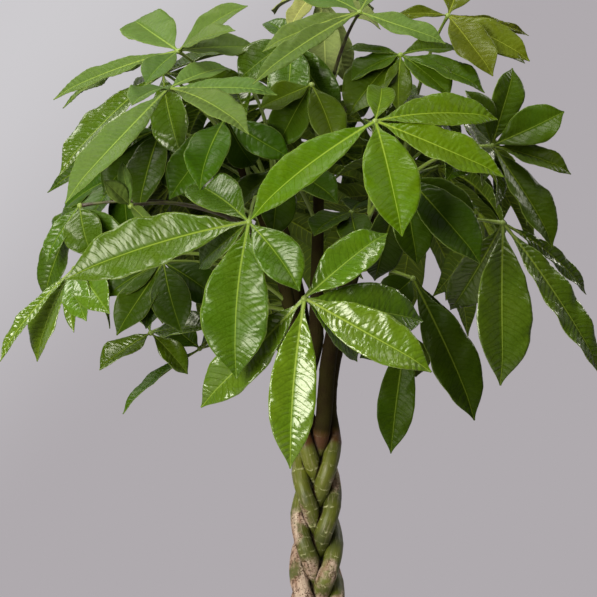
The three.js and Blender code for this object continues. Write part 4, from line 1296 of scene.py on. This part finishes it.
finishes = [upper_material(), under_material(), stalk_material()]
draw = np.random.default_rng(LEAF_SEED)
for number, leaf in enumerate(front_leaves() + back_leaves(), 1):
    name = f"leaf_{number:02d}"
    corners = corners_in(name)
    leaf["bend"] = settled_bend(leaf, corners)
    blades = settled_blades(leaf, corners)
    colour, dullness = TONES[leaf["tone"]]
    browned = 1.0 if number in STALK_BROWN_SHADE_LEAVES else 0.0
    plain = {"across": 0.0, "rib": 0.0, "phase": 0.0, "dullness": 0.4, "tone": paint(STALK_GREEN)}
    cells = len(blades) + 1
    skins = Skins()
    skins.add(stalk_rings(leaf), (0, 0, 0.5 / cells, 1), STALK_FINISH, browned=browned, **plain)
    skins.add(hub_rings(leaf), (0.5 / cells, 0, 1 / cells, 1), STALK_FINISH, browned=0.0, **plain)
    for b, (tip, width, roll) in enumerate(blades, 1):
        rings, under_column, values = leaflet(leaf, tip, width, roll, draw)
        tone = np.broadcast_to(shade_of(colour, draw), rings.shape[:2] + (4,))
        cell = (b / cells, 0, (b + 1) / cells, 1)
        skins.add(rings, cell, under_column, dullness=dullness, tone=tone, browned=0.0, **values)
    skins.piece("palmate_" + name, finishes, "leaf", name)

# --- Studio ---
# The plant stands on a plain pale floor in a soft grey surround that is paler at the upper left.
# Five soft lamps stand round it, the strongest low at the left, and the camera looks level at the crown.
CAMERA_DISTANCE = 3.0
CAMERA_HEIGHT = 0.705
CAMERA_SIDE = -0.0215
VIEW_WIDTH = 0.6567
FLOOR_RADIUS = 2.6
FLOOR_CORNERS = 96
FLOOR_DROP = 0.0002
FLOOR_GREY = "#8F8B8F"
FLOOR_PALE = "#A39FA2"
SURROUND = "#AFAAAE"
SURROUND_DIM = "#56534F"
SURROUND_PALE = "#CDCBCE"
LAMPS = [
    ("lamp_key", (-1.22, -1.95, 1.21), 1.0, 1.5, 93),
    ("lamp_above", (-0.2, -0.5, 2.8), 0.8, 0.8, 38),
    ("lamp_left", (-1.4, 0.6, 2.4), 0.9, 0.9, 20),
    ("lamp_front", (1.15, -1.07, 2.34), 0.8, 0.8, 8),
    ("lamp_right", (1.6, 0.9, 1.9), 0.6, 0.6, 12),
]
AIM = (0.0, 0.0, 0.8)
LAMP_TINT = "#FFFBEE"


def floor_material():
    """Matt pale grey paint, faintly clouded."""
    material, tree, shader, where = new_material("floor_paint")
    cloud = place(tree, MOTTLE, Vector=where, Scale=3.0, Detail=3.0, Contrast=0.3)
    fill(tree, shader.inputs["Base Color"], mixed(tree, cloud, paint(FLOOR_GREY), paint(FLOOR_PALE)))
    shader.inputs["Roughness"].default_value = 0.8
    return material


floor_mesh = bpy.data.meshes.new("floor")
turns = [2 * math.pi * i / FLOOR_CORNERS for i in range(FLOOR_CORNERS)]
edge = [(FLOOR_RADIUS * math.cos(a), FLOOR_RADIUS * math.sin(a), -FLOOR_DROP) for a in turns]
floor_mesh.from_pydata(edge, [], [list(range(FLOOR_CORNERS))])
floor_mesh.materials.append(floor_material())
floor = bpy.data.objects.new("floor", floor_mesh)
bpy.context.scene.collection.objects.link(floor)

world = bpy.data.worlds.new("surround")
bpy.context.scene.world = world
world.use_nodes = True
sky = world.node_tree
# The half of the surround behind the camera is dim, so that waxy leaves stay dark between their highlights
toward = node(sky, "SeparateXYZ", Vector=node(sky, "TexCoord").outputs["Generated"])
facing = between(sky, toward.outputs["Y"], -0.6, 0.8)
slant = reckon(sky, "SUBTRACT", toward.outputs["Z"], toward.outputs["X"])
glow = reckon(sky, "MULTIPLY", between(sky, slant, 0.02, 0.2), between(sky, toward.outputs["Y"], 0.8, 0.95))
backdrop = mixed(sky, facing, paint(SURROUND_DIM), paint(SURROUND))
fill(sky, sky.nodes["Background"].inputs["Color"], mixed(sky, glow, backdrop, paint(SURROUND_PALE)))
sky.nodes["Background"].inputs["Strength"].default_value = 1.0

for lamp_name, spot, wide, high, power in LAMPS:
    light = bpy.data.lights.new(lamp_name, "AREA")
    light.shape = "RECTANGLE"
    light.size = wide
    light.size_y = high
    light.energy = power
    light.color = paint(LAMP_TINT)[:3]
    lamp = bpy.data.objects.new(lamp_name, light)
    lamp.location = spot
    lamp.rotation_euler = (Vector(AIM) - Vector(spot)).to_track_quat("-Z", "Y").to_euler()
    bpy.context.scene.collection.objects.link(lamp)

lens = bpy.data.cameras.new("camera")
lens.angle = 2 * math.atan(VIEW_WIDTH / 2 / CAMERA_DISTANCE)
camera = bpy.data.objects.new("camera", lens)
camera.location = (CAMERA_SIDE, -CAMERA_DISTANCE, CAMERA_HEIGHT)
camera.rotation_euler = (math.pi / 2, 0, 0)
bpy.context.scene.collection.objects.link(camera)
bpy.context.scene.camera = camera
bpy.context.scene.view_settings.view_transform = "Standard"
